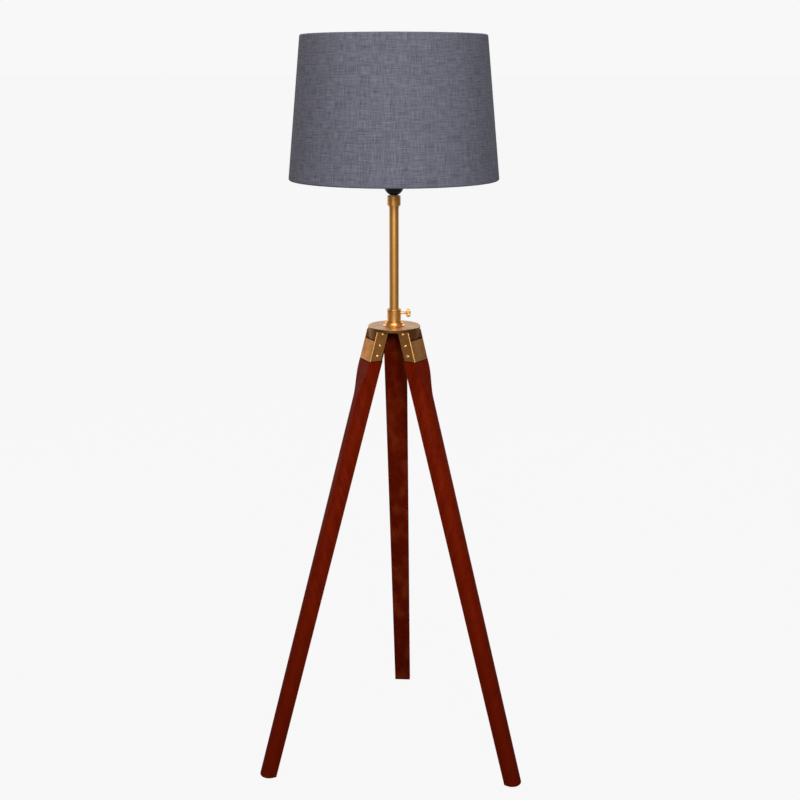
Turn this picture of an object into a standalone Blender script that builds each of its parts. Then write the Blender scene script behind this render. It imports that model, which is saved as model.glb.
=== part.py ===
"""Tripod floor lamp: a brass tube slides and turns in a clamped collar on a round head.

Three wooden legs hang from the head in U-shaped brass brackets and fold inward. The linen drum
shade stands on a lampholder at the top of the tube. Metres, +Z up, floor at z = 0. The rear leg
points to +Y, the clamping screw to +X, and the frame's origin is the middle of the footprint.
"""

import math

import bmesh
import bpy
from mathutils import Matrix, Vector

MM = 0.001

# ---- driving dimensions -------------------------------------------------------------------------
TOTAL_HEIGHT = 1460 * MM

SHADE_TOP_R = 174 * MM
SHADE_BOTTOM_R = 200 * MM
SHADE_HEIGHT = 264 * MM
FABRIC_WALL = 0.8 * MM
LINING_WALL = 0.6 * MM
WIRE_R = 1.8 * MM
SHADE_SEGMENTS = 48

DISC_R = 51 * MM                 # head disc and its three lugs
DISC_TOP_Z = 913.5 * MM
DISC_LIP = 5.5 * MM
DISC_EDGE = 0.8 * MM
LUG_DEPTH = 22 * MM              # from the disc's top down to the lugs' undersides
LUG_ROUND_R = 11.5 * MM          # the lug's round back, about the pivot
PIVOT_Z = 903 * MM

LEG_REACH = 306.3 * MM           # outer face of a leg at the floor, from the pole's axis
LEG_SLOPE = 0.2845               # how far the leg goes out for each metre that it goes down
LEG_DEPTH = 28.7 * MM            # outer to inner face, measured level
LEG_FOOT_WIDTH = 34.5 * MM
LEG_TOP_WIDTH = 45.6 * MM        # at the lower edge of the bracket
LEG_CORNER_R = 17 * MM           # rounding of the two outer corners below the square block
ROUNDING_ENDS_Z = 775 * MM       # full rounding below this height
ROUNDING_STARTS_Z = 838 * MM     # square block above this height
SOLE_EDGE_R = 4.5 * MM
BLOCK_EDGE_R = 1 * MM

BRACKET_WIDTH = 46 * MM
BRACKET_WALL = 1.4 * MM
BRACKET_BEND_R = 1.8 * MM
BRACKET_BOTTOM_Z = 851 * MM
BRACKET_PANEL_TOP_Z = 890 * MM
BRACKET_EAR_TOP_Z = 907.5 * MM
CHEEK_WIDTH = 24.7 * MM
CHEEK_SCREW_Z = (861 * MM, 881 * MM)

PIVOT_BOLT_R = 2.5 * MM
PIVOT_HEAD_R = 4 * MM
PIVOT_HEAD_H = 2.8 * MM
SCREW_R = 1.75 * MM
SCREW_HEAD_R = 3.4 * MM
SCREW_HEAD_H = 2 * MM
SCREW_LENGTH = 13 * MM

TUBE_R = 9 * MM
TUBE_WALL = 1 * MM
TUBE_BOTTOM_Z = 905 * MM
TUBE_TOP_Z = 1157.6 * MM

STEM_R = 12 * MM                 # the boss's threaded stem, through the disc
FLANGE_R = 21.5 * MM             # flange of the boss, on the disc
FLANGE_EDGE = 0.6 * MM
COVE_R = 6.1 * MM                # hollow curve from the flange up to the step
COVE_CENTRE_R = 24 * MM
COVE_CENTRE_UP = 6.2 * MM
STEP_R = 18.2 * MM
STEP_UP = 6.6 * MM               # the step's height above the disc
STEP_CHAMFER = 0.6 * MM
NECK_R = 16.2 * MM
NECK_CHAMFER = 0.5 * MM
SOCKET_R = 11.9 * MM             # takes the collar's spigot
SOCKET_FLOOR = 2.2 * MM          # above the disc
LOCKNUT_CORNER_R = 17 * MM

COLLAR_R = 13.75 * MM
COLLAR_BOTTOM_Z = 922.4 * MM
COLLAR_JOINT_Z = 942.8 * MM
COLLAR_TOP_Z = 946 * MM
COLLAR_EDGE = 0.4 * MM
COLLAR_TOP_EDGE = 0.6 * MM
COLLAR_GROOVE = 0.5 * MM         # dark line between the collar and its top ring
COLLAR_FLOOR = 1.2 * MM          # the sleeve stands on it
SPIGOT_R = 11.5 * MM
SPIGOT_BOTTOM_Z = DISC_TOP_Z + 2.9 * MM
CLAMP_Z = 938.5 * MM
SLEEVE_WALL = 1 * MM
SLEEVE_SLOT = 2 * MM

SHANK_R = 2.45 * MM              # thumbscrew; its lengths run from the pole's axis
SHANK_END = 23 * MM
SHANK_CHAMFER = 0.5 * MM
KNOB_NECK = ((3.6 * MM, 23.4 * MM), (3.9 * MM, 24.2 * MM))
KNOB_CORNER_R = 1.7 * MM
KNOB_CORNER_CENTRE_R = 6.3 * MM
KNOB_CORNERS = (26.1 * MM, 30.2 * MM)
KNOB_DISH = ((4.6 * MM, 31.9 * MM), (4.1 * MM, 31.5 * MM))

CAP_BOTTOM_Z = 1143.5 * MM
CAP_SHOULDER_Z = 1147 * MM
CAP_TOP_Z = 1165.5 * MM
CAP_R = 12.75 * MM
CAP_NECK_R = 10 * MM
CAP_EDGE = 0.8 * MM
BUSH_SPIGOT = 7 * MM
BUSH_FLANGE = 1.8 * MM
BUSH_BORE_R = 4 * MM

HOLDER_BOTTOM_Z = 1167 * MM
HOLDER_R = 19.5 * MM
HOLDER_DOME_HEIGHT = 20 * MM
HOLDER_DOME_FLAT = 2 * MM        # cut off the half ellipse where it meets the cap
HOLDER_WALL = 2 * MM
HOLDER_FLOOR = 2.4 * MM
HOLDER_JOINT_Z = 1200 * MM
HOLDER_TOP_Z = 1232 * MM
SKIRT_R = HOLDER_R - 0.7 * MM    # threaded upper part, above the flange
SKIRT_FLANGE_R = 24 * MM
SKIRT_FLANGE_UP = 11 * MM        # heights that end in UP run from the lampholder's joint
SKIRT_FLANGE_WALL = 2.5 * MM
NIPPLE_R = 5 * MM
NIPPLE_WALL = 1.3 * MM
NIPPLE_DOWN = 5.6 * MM           # below the tube's top
NIPPLE_RISE = 9 * MM             # into the lampholder
NIPPLE_NUT_CORNER_R = 7.4 * MM
NIPPLE_NUT_HEIGHT = 4 * MM
INSERT_BORE_R = 2.4 * MM
INSERT_UP = (-6 * MM, 3 * MM)
CONTACT_R = (2 * MM, 4 * MM, 3.2 * MM)
CONTACT_UP = (-7 * MM, 3.3 * MM, 4.5 * MM, 4.9 * MM)

SHADE_RING_UP = (16.4 * MM, 21.4 * MM, 23.9 * MM)
SHADE_RING_R = 25 * MM
SHADE_RING_NECK_R = 22 * MM
SHADE_RING_EDGE = 1 * MM
CARRIER_UP = 13.8 * MM
CARRIER_WALL = 2.2 * MM
CARRIER_BORE_R = 19.6 * MM
CARRIER_R = 29 * MM
ARM_R = 1.6 * MM
ARM_ROOT_R = 27.5 * MM
ARM_TURN = 30                    # degrees, first arm
WIRE_UP = 0.8 * MM               # wire rings, in from the shade's edges

BULB_R = 30 * MM
BULB_WALL = 0.8 * MM
BULB_NECK_R = 12 * MM
BULB_NECK_FLARE = 0.6 * MM
BULB_NECK_HEIGHT = 8 * MM
BULB_NECK_UP = 1.6 * MM          # the neck's lower end, above the lampholder
BULB_CENTRE_UP = 52 * MM         # above the neck's lower end
BULB_JOIN_ANGLE = -48            # degrees, where the neck meets the ball
BULB_CAP_R = 13.2 * MM
BULB_CAP_WALL = 0.8 * MM
BULB_CAP_UP = 8.6 * MM
BULB_CAP_RISE = 1.2 * MM         # above the lampholder
BULB_CAP_HOLE_R = 4.6 * MM
BULB_CAP_BASE_R = (9.6 * MM, 8 * MM)
THREAD_TURNS = 3
THREAD_START = 3 * MM
THREAD_RUN_OUT = 2 * MM
THREAD_DEPTH = 0.9 * MM
THREAD_COLLAR = 0.6 * MM         # plain collar above the thread, in from its crest
BULB_CONTACT_UP = (5.6 * MM, 6 * MM, 8.2 * MM, 10.2 * MM)
BULB_CONTACT_R = (3 * MM, 8 * MM, 4.2 * MM)

GAP = 0.3 * MM                   # between pieces that touch
RUNNING_GAP = 0.4 * MM           # between pieces that move on each other
CUT_MARGIN = 5 * MM              # how far a cutting tool stands clear of what it cuts

# ---- worked out ---------------------------------------------------------------------------------
SPLAY = math.atan(LEG_SLOPE)
SHADE_BOTTOM_Z = TOTAL_HEIGHT - SHADE_HEIGHT
DISC_UNDER_Z = DISC_TOP_Z - DISC_LIP
LUG_BOTTOM_Z = DISC_TOP_Z - LUG_DEPTH
PIVOT_R = LEG_REACH - LEG_SLOPE * PIVOT_Z - LEG_DEPTH / 2
LUG_HALF_WIDTH = BRACKET_WIDTH / 2 - BRACKET_WALL - RUNNING_GAP
POLE_Y = (SHADE_BOTTOM_R - LEG_REACH + LEG_SLOPE * SOLE_EDGE_R) / 2
LEG_ANGLES = {1: math.radians(90), 2: math.radians(210), 3: math.radians(330)}


# ---- scene and materials ------------------------------------------------------------------------
def clear_scene():
    for obj in list(bpy.data.objects):
        bpy.data.objects.remove(obj, do_unlink=True)


def make_material(name, color, roughness, metallic=0.0, transmission=0.0):
    material = bpy.data.materials.new(name)
    material.use_nodes = True
    shader = material.node_tree.nodes["Principled BSDF"]
    shader.inputs["Base Color"].default_value = (*color, 1.0)
    shader.inputs["Roughness"].default_value = roughness
    shader.inputs["Metallic"].default_value = metallic
    shader.inputs["Transmission Weight"].default_value = transmission
    return material


def make_empty(name, location, turn=0.0, parent=None):
    empty = bpy.data.objects.new(name, None)
    empty.empty_display_size = 0.03
    empty.location = location
    empty.rotation_euler = (0, 0, turn)
    empty.parent = parent
    bpy.context.collection.objects.link(empty)
    return empty


def add_piece(name, mesh, material, parent, location=(0, 0, 0), rotation=(0, 0, 0)):
    """A named object of its own, under the empty whose axes its mesh is drawn in."""
    if not mesh.materials:
        mesh.materials.append(material)
    piece = bpy.data.objects.new(name, mesh)
    piece.location = location
    piece.rotation_euler = rotation
    piece.parent = parent
    bpy.context.collection.objects.link(piece)
    return piece


# ---- mesh tools ---------------------------------------------------------------------------------
def finish_mesh(name, bm, sharp_angle=35):
    bmesh.ops.remove_doubles(bm, verts=bm.verts, dist=0.00001)
    bmesh.ops.recalc_face_normals(bm, faces=bm.faces)
    mesh = bpy.data.meshes.new(name)
    bm.to_mesh(mesh)
    bm.free()
    mesh.shade_smooth()
    mesh.set_sharp_from_angle(angle=math.radians(sharp_angle))
    return mesh


def arc(center_r, center_z, radius, start, end, steps):
    """Points on a circle in the (r, z) plane, from start to end degrees."""
    points = []
    for step in range(steps + 1):
        angle = math.radians(start + (end - start) * step / steps)
        points.append((center_r + radius * math.cos(angle), center_z + radius * math.sin(angle)))
    return points


def turned(name, outline, segments=32):
    """Turn a closed (r, z) outline about the Z axis; a point with r = 0 becomes one vertex."""
    bm = bmesh.new()
    rings = []
    for r, z in outline:
        if r < 1e-9:
            rings.append([bm.verts.new((0, 0, z))] * segments)
            continue
        ring = []
        for step in range(segments):
            angle = 2 * math.pi * step / segments
            ring.append(bm.verts.new((r * math.cos(angle), r * math.sin(angle), z)))
        rings.append(ring)
    for ring, next_ring in zip(rings, rings[1:] + rings[:1]):
        for step in range(segments):
            after = (step + 1) % segments
            corners = [ring[step], ring[after], next_ring[after], next_ring[step]]
            corners = list(dict.fromkeys(corners))
            if len(corners) > 2:
                bm.faces.new(corners)
    return finish_mesh(name, bm)


def lofted(name, rings, sharp_angle=35):
    """Join rings of equally many points into a closed solid with flat ends."""
    bm = bmesh.new()
    loops = [[bm.verts.new(point) for point in ring] for ring in rings]
    for low, high in zip(loops, loops[1:]):
        for step in range(len(low)):
            after = (step + 1) % len(low)
            bm.faces.new((low[step], low[after], high[after], high[step]))
    bm.faces.new(list(reversed(loops[0])))
    bm.faces.new(loops[-1])
    return finish_mesh(name, bm, sharp_angle)


def extruded(name, outline, low, high, axis="Y"):
    """A prism: an (a, b) outline in the plane across the axis, between two places on it."""
    rings = []
    for place in (low, high):
        if axis == "Y":
            rings.append([(a, place, b) for a, b in outline])
        else:
            rings.append([(a, b, place) for a, b in outline])
    return lofted(name, rings)


def box_mesh(name, low, high):
    outline = [(low[0], low[1]), (high[0], low[1]), (high[0], high[1]), (low[0], high[1])]
    return extruded(name, outline, low[2], high[2], axis="Z")


def rod_mesh(name, radius, low, high, segments=16):
    return turned(name, [(0, low), (radius, low), (radius, high), (0, high)], segments)


def combined(name, mesh, others, operation, sharp_angle=35):
    """Boolean of a mesh with others, each a (mesh, matrix) pair, made into a new plain mesh."""
    base = bpy.data.objects.new("boolean_base", mesh)
    bpy.context.collection.objects.link(base)
    tools = []
    for other, matrix in others:
        tool = bpy.data.objects.new("boolean_tool", other)
        tool.matrix_world = matrix
        tool.hide_render = True
        tool.display_type = "WIRE"
        bpy.context.collection.objects.link(tool)
        modifier = base.modifiers.new("boolean", "BOOLEAN")
        modifier.operation = operation
        modifier.solver = "EXACT"
        modifier.object = tool
        tools.append(tool)
    bpy.context.view_layer.update()
    graph = bpy.context.evaluated_depsgraph_get()
    result = bpy.data.meshes.new_from_object(base.evaluated_get(graph))
    result.name = name
    for tool in tools + [base]:
        bpy.data.objects.remove(tool, do_unlink=True)
    result.shade_smooth()
    result.set_sharp_from_angle(angle=math.radians(sharp_angle))
    return result


def cut(name, mesh, others, sharp_angle=35):
    return combined(name, mesh, others, "DIFFERENCE", sharp_angle)


def along_y(x=0.0, y=0.0, z=0.0):
    """Lays a piece that was drawn along Z onto the Y axis, at a place."""
    return Matrix.Translation((x, y, z)) @ Matrix.Rotation(math.radians(-90), 4, "X")


def along_x(x=0.0, y=0.0, z=0.0):
    return Matrix.Translation((x, y, z)) @ Matrix.Rotation(math.radians(90), 4, "Y")


def about_z(angle):
    return Matrix.Rotation(angle, 4, "Z")


# ---- the leg's own lines, as distances from the pole's axis -------------------------------------
def leg_outer(z):
    return LEG_REACH - LEG_SLOPE * z


def leg_half_width(z):
    slope = (LEG_TOP_WIDTH - LEG_FOOT_WIDTH) / BRACKET_BOTTOM_Z
    return (LEG_FOOT_WIDTH + slope * z) / 2


def leg_corner_radius(z):
    share = (ROUNDING_STARTS_Z - z) / (ROUNDING_STARTS_Z - ROUNDING_ENDS_Z)
    share = min(max(share, 0.0), 1.0)
    share = share * share * (3 - 2 * share)
    return BLOCK_EDGE_R + (LEG_CORNER_R - BLOCK_EDGE_R) * share


def from_pivot(r, y, z):
    """A point of the leg, from its distance to the pole's axis to the leg's own axes."""
    return (r - PIVOT_R, y, z - PIVOT_Z)


def leg_ring(z, outer, inner, half_width, radius, steps=5):
    """One level section of a leg: flat inner face, two rounded outer corners."""
    ring = [(inner, -half_width)]
    ring += arc(outer - radius, -half_width + radius, radius, -90, 0, steps)
    ring += arc(outer - radius, half_width - radius, radius, 0, 90, steps)
    ring.append((inner, half_width))
    return [from_pivot(r, y, z) for r, y in ring]


def leg_mesh():
    rings = []
    for step in range(5):
        angle = math.radians(90 * step / 4)
        z = SOLE_EDGE_R * (1 - math.cos(angle))
        inset = SOLE_EDGE_R * (1 - math.sin(angle))
        outer = leg_outer(z)
        rings.append(leg_ring(z, outer - inset, outer - LEG_DEPTH, leg_half_width(z), LEG_CORNER_R))
    block_top = BRACKET_BOTTOM_Z - GAP
    steps = 6
    heights = [ROUNDING_ENDS_Z + (ROUNDING_STARTS_Z - ROUNDING_ENDS_Z) * k / steps
               for k in range(steps + 1)]
    for z in heights + [block_top]:
        outer = leg_outer(z)
        rings.append(leg_ring(z, outer, outer - LEG_DEPTH, leg_half_width(z), leg_corner_radius(z)))
    # The tenon that the bracket clasps is thinner by the bracket's wall.
    tenon_half = BRACKET_WIDTH / 2 - BRACKET_WALL - GAP
    for z in (block_top, LUG_BOTTOM_Z - RUNNING_GAP):
        tenon_outer = leg_outer(z) - BRACKET_WALL - GAP
        tenon_inner = leg_outer(z) - LEG_DEPTH + GAP
        rings.append(leg_ring(z, tenon_outer, tenon_inner, tenon_half, BLOCK_EDGE_R))
    blank = lofted("leg_blank", rings)
    hole = rod_mesh("hole", SCREW_R + GAP, -SCREW_LENGTH - GAP, SCREW_LENGTH, 8)
    holes = []
    for z in CHEEK_SCREW_Z:
        x = leg_outer(z) - LEG_DEPTH / 2 - PIVOT_R
        for side in (-1, 1):
            turn = Matrix.Rotation(0 if side > 0 else math.pi, 4, "X")
            place = Matrix.Translation((x, side * BRACKET_WIDTH / 2, z - PIVOT_Z))
            holes.append((hole, place @ turn @ along_y()))
    return cut("leg", blank, holes)


def bracket_ring(z):
    """Level section of the bracket: a U round the outer face and both sides of the leg."""
    outer = leg_outer(z)
    inner_end = outer - CHEEK_WIDTH
    half = BRACKET_WIDTH / 2
    inside_half = half - BRACKET_WALL
    inside_outer = outer - BRACKET_WALL
    bend = BRACKET_BEND_R
    inside_bend = bend - BRACKET_WALL
    ring = [(inner_end, -half)]
    ring += arc(outer - bend, -half + bend, bend, -90, 0, 3)
    ring += arc(outer - bend, half - bend, bend, 0, 90, 3)
    ring += [(inner_end, half), (inner_end, inside_half)]
    ring += arc(inside_outer - inside_bend, inside_half - inside_bend, inside_bend, 90, 0, 2)
    ring += arc(inside_outer - inside_bend, -inside_half + inside_bend, inside_bend, 0, -90, 2)
    ring.append((inner_end, -inside_half))
    return [from_pivot(r, y, z) for r, y in ring]


def bracket_mesh():
    blank = lofted("bracket_blank", [bracket_ring(BRACKET_BOTTOM_Z), bracket_ring(BRACKET_EAR_TOP_Z)])
    reach = BRACKET_WIDTH
    inside_half = BRACKET_WIDTH / 2 - BRACKET_WALL
    panel_top = BRACKET_PANEL_TOP_Z - PIVOT_Z
    window = box_mesh("window", (0, -inside_half, panel_top), (reach, inside_half, reach))
    # The ears' inner shoulders slope so that they pass under the disc as the leg folds.
    ear_height = BRACKET_EAR_TOP_Z - PIVOT_Z
    shoulder = box_mesh("shoulder", (-reach, -reach, ear_height), (reach, reach, reach))
    bolt_hole = rod_mesh("bolt_hole", PIVOT_BOLT_R + GAP, -reach, reach, 12)
    screw_hole = rod_mesh("screw_hole", SCREW_R + GAP, -reach, reach, 10)
    tools = [
        (window, Matrix()),
        (shoulder, Matrix.Rotation(-SPLAY, 4, "Y")),
        (bolt_hole, along_y()),
    ]
    for z in CHEEK_SCREW_Z:
        x = leg_outer(z) - LEG_DEPTH / 2 - PIVOT_R
        tools.append((screw_hole, along_y(x, 0, z - PIVOT_Z)))
    return cut("bracket", blank, tools)


def round_head(radius, height, shank_radius, shank_length, segments=16):
    """A screw standing on Z: a domed head above z = 0 and a plain shank below it."""
    sphere_r = (radius ** 2 + (height * 0.8) ** 2) / (2 * height * 0.8)
    edge = math.degrees(math.asin(radius / sphere_r))
    dome = arc(0, height - sphere_r, sphere_r, 90 - edge, 90, 2)
    outline = [(0, -shank_length), (shank_radius * 0.7, -shank_length)]
    outline += [(shank_radius, -shank_length + shank_radius * 0.5), (shank_radius, 0), (radius, 0)]
    outline += dome[:-1] + [(0, height)]
    return outline, segments


def screw_mesh():
    return turned("screw", *round_head(SCREW_HEAD_R, SCREW_HEAD_H, SCREW_R, SCREW_LENGTH - GAP, 10))


def pivot_bolt_mesh():
    length = BRACKET_WIDTH + PIVOT_HEAD_H * 0.5
    return turned("pivot_bolt", *round_head(PIVOT_HEAD_R, PIVOT_HEAD_H, PIVOT_BOLT_R, length))


def pivot_nut_mesh():
    """A cap nut that mirrors the bolt's head, with a blind hole for the bolt's end."""
    outline, segments = round_head(PIVOT_HEAD_R, PIVOT_HEAD_H, PIVOT_BOLT_R, 1)
    dome = outline[4:]
    bore = PIVOT_BOLT_R + GAP
    depth = PIVOT_HEAD_H * 0.5 + 2 * GAP
    return turned("pivot_nut", [(0, depth), (bore, depth), (bore, 0)] + dome, segments)


# ---- the head -----------------------------------------------------------------------------------
def head_mesh():
    edge = DISC_EDGE
    stem_hole = STEM_R + GAP
    block = turned("head_block", [
        (stem_hole, DISC_TOP_Z), (stem_hole, LUG_BOTTOM_Z), (DISC_R - edge, LUG_BOTTOM_Z),
        (DISC_R, LUG_BOTTOM_Z + edge), (DISC_R, DISC_TOP_Z - edge), (DISC_R - edge, DISC_TOP_Z),
    ], 60)
    # Everything below the disc goes, apart from the three lugs.
    below = LUG_BOTTOM_Z - 2 * CUT_MARGIN
    beyond = DISC_R + 2 * CUT_MARGIN
    waste = turned("waste", [
        (MM, DISC_UNDER_Z), (MM, below), (beyond, below), (beyond, DISC_UNDER_Z),
    ], 24)
    lug_top = DISC_UNDER_Z + CUT_MARGIN
    lug_low = below - CUT_MARGIN
    lug_outline = [(PIVOT_R - LUG_ROUND_R, lug_top)]
    lug_outline += arc(PIVOT_R, PIVOT_Z, LUG_ROUND_R, 180, 270, 8)
    lug_outline += [(PIVOT_R, lug_low), (beyond + CUT_MARGIN, lug_low)]
    lug_outline.append((beyond + CUT_MARGIN, lug_top))
    lug = extruded("lug", lug_outline, -LUG_HALF_WIDTH, LUG_HALF_WIDTH)
    waste = cut("waste_cut", waste, [(lug, about_z(angle)) for angle in LEG_ANGLES.values()])
    bore = rod_mesh("bore", PIVOT_BOLT_R + RUNNING_GAP, -beyond, beyond)
    tools = [(waste, Matrix())]
    for angle in LEG_ANGLES.values():
        tools.append((bore, about_z(angle) @ along_y(PIVOT_R, 0, PIVOT_Z)))
    return cut("head_casting", block, tools)


def hub_boss_mesh():
    """Cone and stepped flange on the disc, with a stem through it for the locknut."""
    bore = TUBE_R + RUNNING_GAP
    base = DISC_TOP_Z + GAP
    step = base + STEP_UP
    floor = base + SOCKET_FLOOR
    top = COLLAR_BOTTOM_Z - RUNNING_GAP
    outline = [(bore, PIVOT_Z), (STEM_R, PIVOT_Z), (STEM_R, base), (FLANGE_R, base)]
    outline.append((FLANGE_R, base + FLANGE_EDGE))
    outline += arc(COVE_CENTRE_R, base + COVE_CENTRE_UP, COVE_R, 246, 207, 2)
    outline += [(STEP_R, step - STEP_CHAMFER), (STEP_R - STEP_CHAMFER, step), (NECK_R, step)]
    outline += [(NECK_R, top - NECK_CHAMFER), (NECK_R - NECK_CHAMFER, top)]
    outline += [(SOCKET_R, top), (SOCKET_R, floor), (bore, floor)]
    return turned("hub_boss", outline)


def hub_locknut_mesh():
    hexagon = arc(0, 0, LOCKNUT_CORNER_R, 0, 360, 6)[:-1]
    blank = extruded("nut_blank", hexagon, PIVOT_Z + GAP, DISC_UNDER_Z - GAP, axis="Z")
    hole = rod_mesh("nut_hole", STEM_R + GAP, PIVOT_Z - MM, DISC_UNDER_Z + MM, 32)
    return cut("hub_locknut", blank, [(hole, Matrix())])


def clamp_collar_mesh():
    bore = TUBE_R + RUNNING_GAP
    chamber = TUBE_R + RUNNING_GAP + SLEEVE_WALL + RUNNING_GAP
    floor = COLLAR_BOTTOM_Z + COLLAR_FLOOR
    outline = [
        (bore, SPIGOT_BOTTOM_Z), (SPIGOT_R, SPIGOT_BOTTOM_Z), (SPIGOT_R, COLLAR_BOTTOM_Z),
        (COLLAR_R, COLLAR_BOTTOM_Z), (COLLAR_R, COLLAR_JOINT_Z - COLLAR_EDGE),
        (COLLAR_R - COLLAR_EDGE, COLLAR_JOINT_Z), (chamber, COLLAR_JOINT_Z),
        (chamber, floor), (bore, floor),
    ]
    blank = turned("collar_blank", outline)
    hole = rod_mesh("clamp_hole", SHANK_R + RUNNING_GAP, TUBE_R / 2, 2 * COLLAR_R)
    return cut("clamp_collar", blank, [(hole, along_x(0, 0, CLAMP_Z))])


def collar_ring_mesh():
    bore = TUBE_R + RUNNING_GAP
    low = COLLAR_JOINT_Z + COLLAR_GROOVE
    edge = COLLAR_TOP_EDGE
    return turned("collar_ring", [
        (bore, low), (COLLAR_R - COLLAR_EDGE, low), (COLLAR_R, low + COLLAR_EDGE),
        (COLLAR_R, COLLAR_TOP_Z - edge), (COLLAR_R - edge, COLLAR_TOP_Z), (bore, COLLAR_TOP_Z),
    ])


def clamp_sleeve_mesh():
    inner = TUBE_R + RUNNING_GAP
    low = COLLAR_BOTTOM_Z + COLLAR_FLOOR + GAP
    high = COLLAR_JOINT_Z
    ring = turned("sleeve_ring", [
        (inner, low), (inner + SLEEVE_WALL, low), (inner + SLEEVE_WALL, high), (inner, high),
    ])
    slot = box_mesh("slot", (-COLLAR_R, -SLEEVE_SLOT / 2, low - MM), (0, SLEEVE_SLOT / 2, high + MM))
    return cut("clamp_sleeve", ring, [(slot, Matrix())])


def thumbscrew_mesh():
    """Drawn along Z from the pole's axis outward: shank, neck and a turned knob."""
    tip = TUBE_R + RUNNING_GAP + SLEEVE_WALL + RUNNING_GAP
    outline = [(0, tip), (SHANK_R - SHANK_CHAMFER, tip), (SHANK_R, tip + SHANK_CHAMFER)]
    outline += [(SHANK_R, SHANK_END), *KNOB_NECK]
    outline += arc(KNOB_CORNER_CENTRE_R, KNOB_CORNERS[0], KNOB_CORNER_R, -90, 0, 3)
    outline += arc(KNOB_CORNER_CENTRE_R, KNOB_CORNERS[1], KNOB_CORNER_R, 0, 90, 3)
    outline += [*KNOB_DISH, (0, KNOB_DISH[1][1])]
    return turned("thumbscrew", outline, 24)


# ---- the pole and lampholder --------------------------------------------------------------------
def tube_mesh():
    inner = TUBE_R - TUBE_WALL
    return turned("tube", [
        (inner, TUBE_BOTTOM_Z), (TUBE_R, TUBE_BOTTOM_Z), (TUBE_R, TUBE_TOP_Z), (inner, TUBE_TOP_Z),
    ], 40)


def cable_bush_mesh():
    spigot = TUBE_R - TUBE_WALL - GAP
    low = TUBE_BOTTOM_Z - BUSH_FLANGE
    shoulder = TUBE_BOTTOM_Z - GAP
    top = TUBE_BOTTOM_Z + BUSH_SPIGOT
    return turned("cable_bush", [
        (BUSH_BORE_R + MM, low), (TUBE_R - 2 * GAP, low), (TUBE_R - GAP, shoulder),
        (spigot, shoulder), (spigot, top), (BUSH_BORE_R, top), (BUSH_BORE_R, low + MM),
    ], 24)


def top_cap_mesh():
    bore = TUBE_R + GAP
    floor = TUBE_TOP_Z + GAP
    nipple_hole = NIPPLE_R + GAP
    edge = CAP_EDGE
    return turned("top_cap", [
        (bore, CAP_BOTTOM_Z), (CAP_NECK_R, CAP_BOTTOM_Z), (CAP_NECK_R, CAP_SHOULDER_Z),
        (CAP_R - edge, CAP_SHOULDER_Z), (CAP_R, CAP_SHOULDER_Z + edge), (CAP_R, CAP_TOP_Z - edge),
        (CAP_R - edge, CAP_TOP_Z), (nipple_hole, CAP_TOP_Z), (nipple_hole, floor), (bore, floor),
    ])


def nipple_mesh():
    low = TUBE_TOP_Z - NIPPLE_DOWN
    high = HOLDER_BOTTOM_Z + NIPPLE_RISE
    inner = NIPPLE_R - NIPPLE_WALL
    return turned("nipple", [(inner, low), (NIPPLE_R, low), (NIPPLE_R, high), (inner, high)], 24)


def nipple_locknut_mesh():
    hexagon = arc(0, 0, NIPPLE_NUT_CORNER_R, 0, 360, 6)[:-1]
    low = TUBE_TOP_Z - NIPPLE_NUT_HEIGHT
    blank = extruded("locknut_blank", hexagon, low, TUBE_TOP_Z, axis="Z")
    hole = rod_mesh("locknut_hole", NIPPLE_R + GAP, low - MM, TUBE_TOP_Z + MM, 24)
    return cut("nipple_locknut", blank, [(hole, Matrix())])


def lampholder_cap_mesh():
    """Domed lower half of the lampholder: half an ellipse, cut flat where it meets the cap."""
    semi_height = HOLDER_DOME_HEIGHT + HOLDER_DOME_FLAT
    outer = []
    inner = []
    for step in range(7):
        height = HOLDER_DOME_HEIGHT * step / 6
        r = HOLDER_R * math.sqrt(1 - ((HOLDER_DOME_HEIGHT - height) / semi_height) ** 2)
        outer.append((r, HOLDER_BOTTOM_Z + height))
        if step in (1, 3, 6):
            inner.append((r - HOLDER_WALL, HOLDER_BOTTOM_Z + height))
    hole = NIPPLE_R + GAP
    floor = HOLDER_BOTTOM_Z + HOLDER_FLOOR
    outline = [(hole, HOLDER_BOTTOM_Z)] + outer
    outline += [(HOLDER_R, HOLDER_JOINT_Z), (HOLDER_R - HOLDER_WALL, HOLDER_JOINT_Z)]
    outline += list(reversed(inner)) + [(hole, floor)]
    return turned("lampholder_cap", outline)


def lampholder_skirt_mesh():
    """Upper half, with the flange that the shade's carrier rests on."""
    inner = SKIRT_R - HOLDER_WALL
    low = HOLDER_JOINT_Z + GAP
    flange_low = HOLDER_JOINT_Z + SKIRT_FLANGE_UP
    flange_high = flange_low + SKIRT_FLANGE_WALL
    return turned("lampholder_skirt", [
        (inner, low), (HOLDER_R, low), (HOLDER_R, flange_low), (SKIRT_FLANGE_R, flange_low),
        (SKIRT_FLANGE_R, flange_high), (SKIRT_R, flange_high), (SKIRT_R, HOLDER_TOP_Z - MM),
        (SKIRT_R - MM, HOLDER_TOP_Z), (inner, HOLDER_TOP_Z),
    ])


def lampholder_insert_mesh():
    """Ceramic disc that carries the contacts, inside the joint of the two halves."""
    radius = SKIRT_R - HOLDER_WALL - GAP
    low, high = (HOLDER_JOINT_Z + up for up in INSERT_UP)
    return turned("lampholder_insert", [
        (INSERT_BORE_R, low), (radius, low), (radius, high), (INSERT_BORE_R, high),
    ], 24)


def centre_contact_mesh():
    stem, head, top = CONTACT_R
    low, seat, shoulder, crown = (HOLDER_JOINT_Z + up for up in CONTACT_UP)
    return turned("centre_contact", [
        (0, low), (stem, low), (stem, seat), (head, seat), (top, shoulder), (0, crown),
    ], 24)


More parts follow.
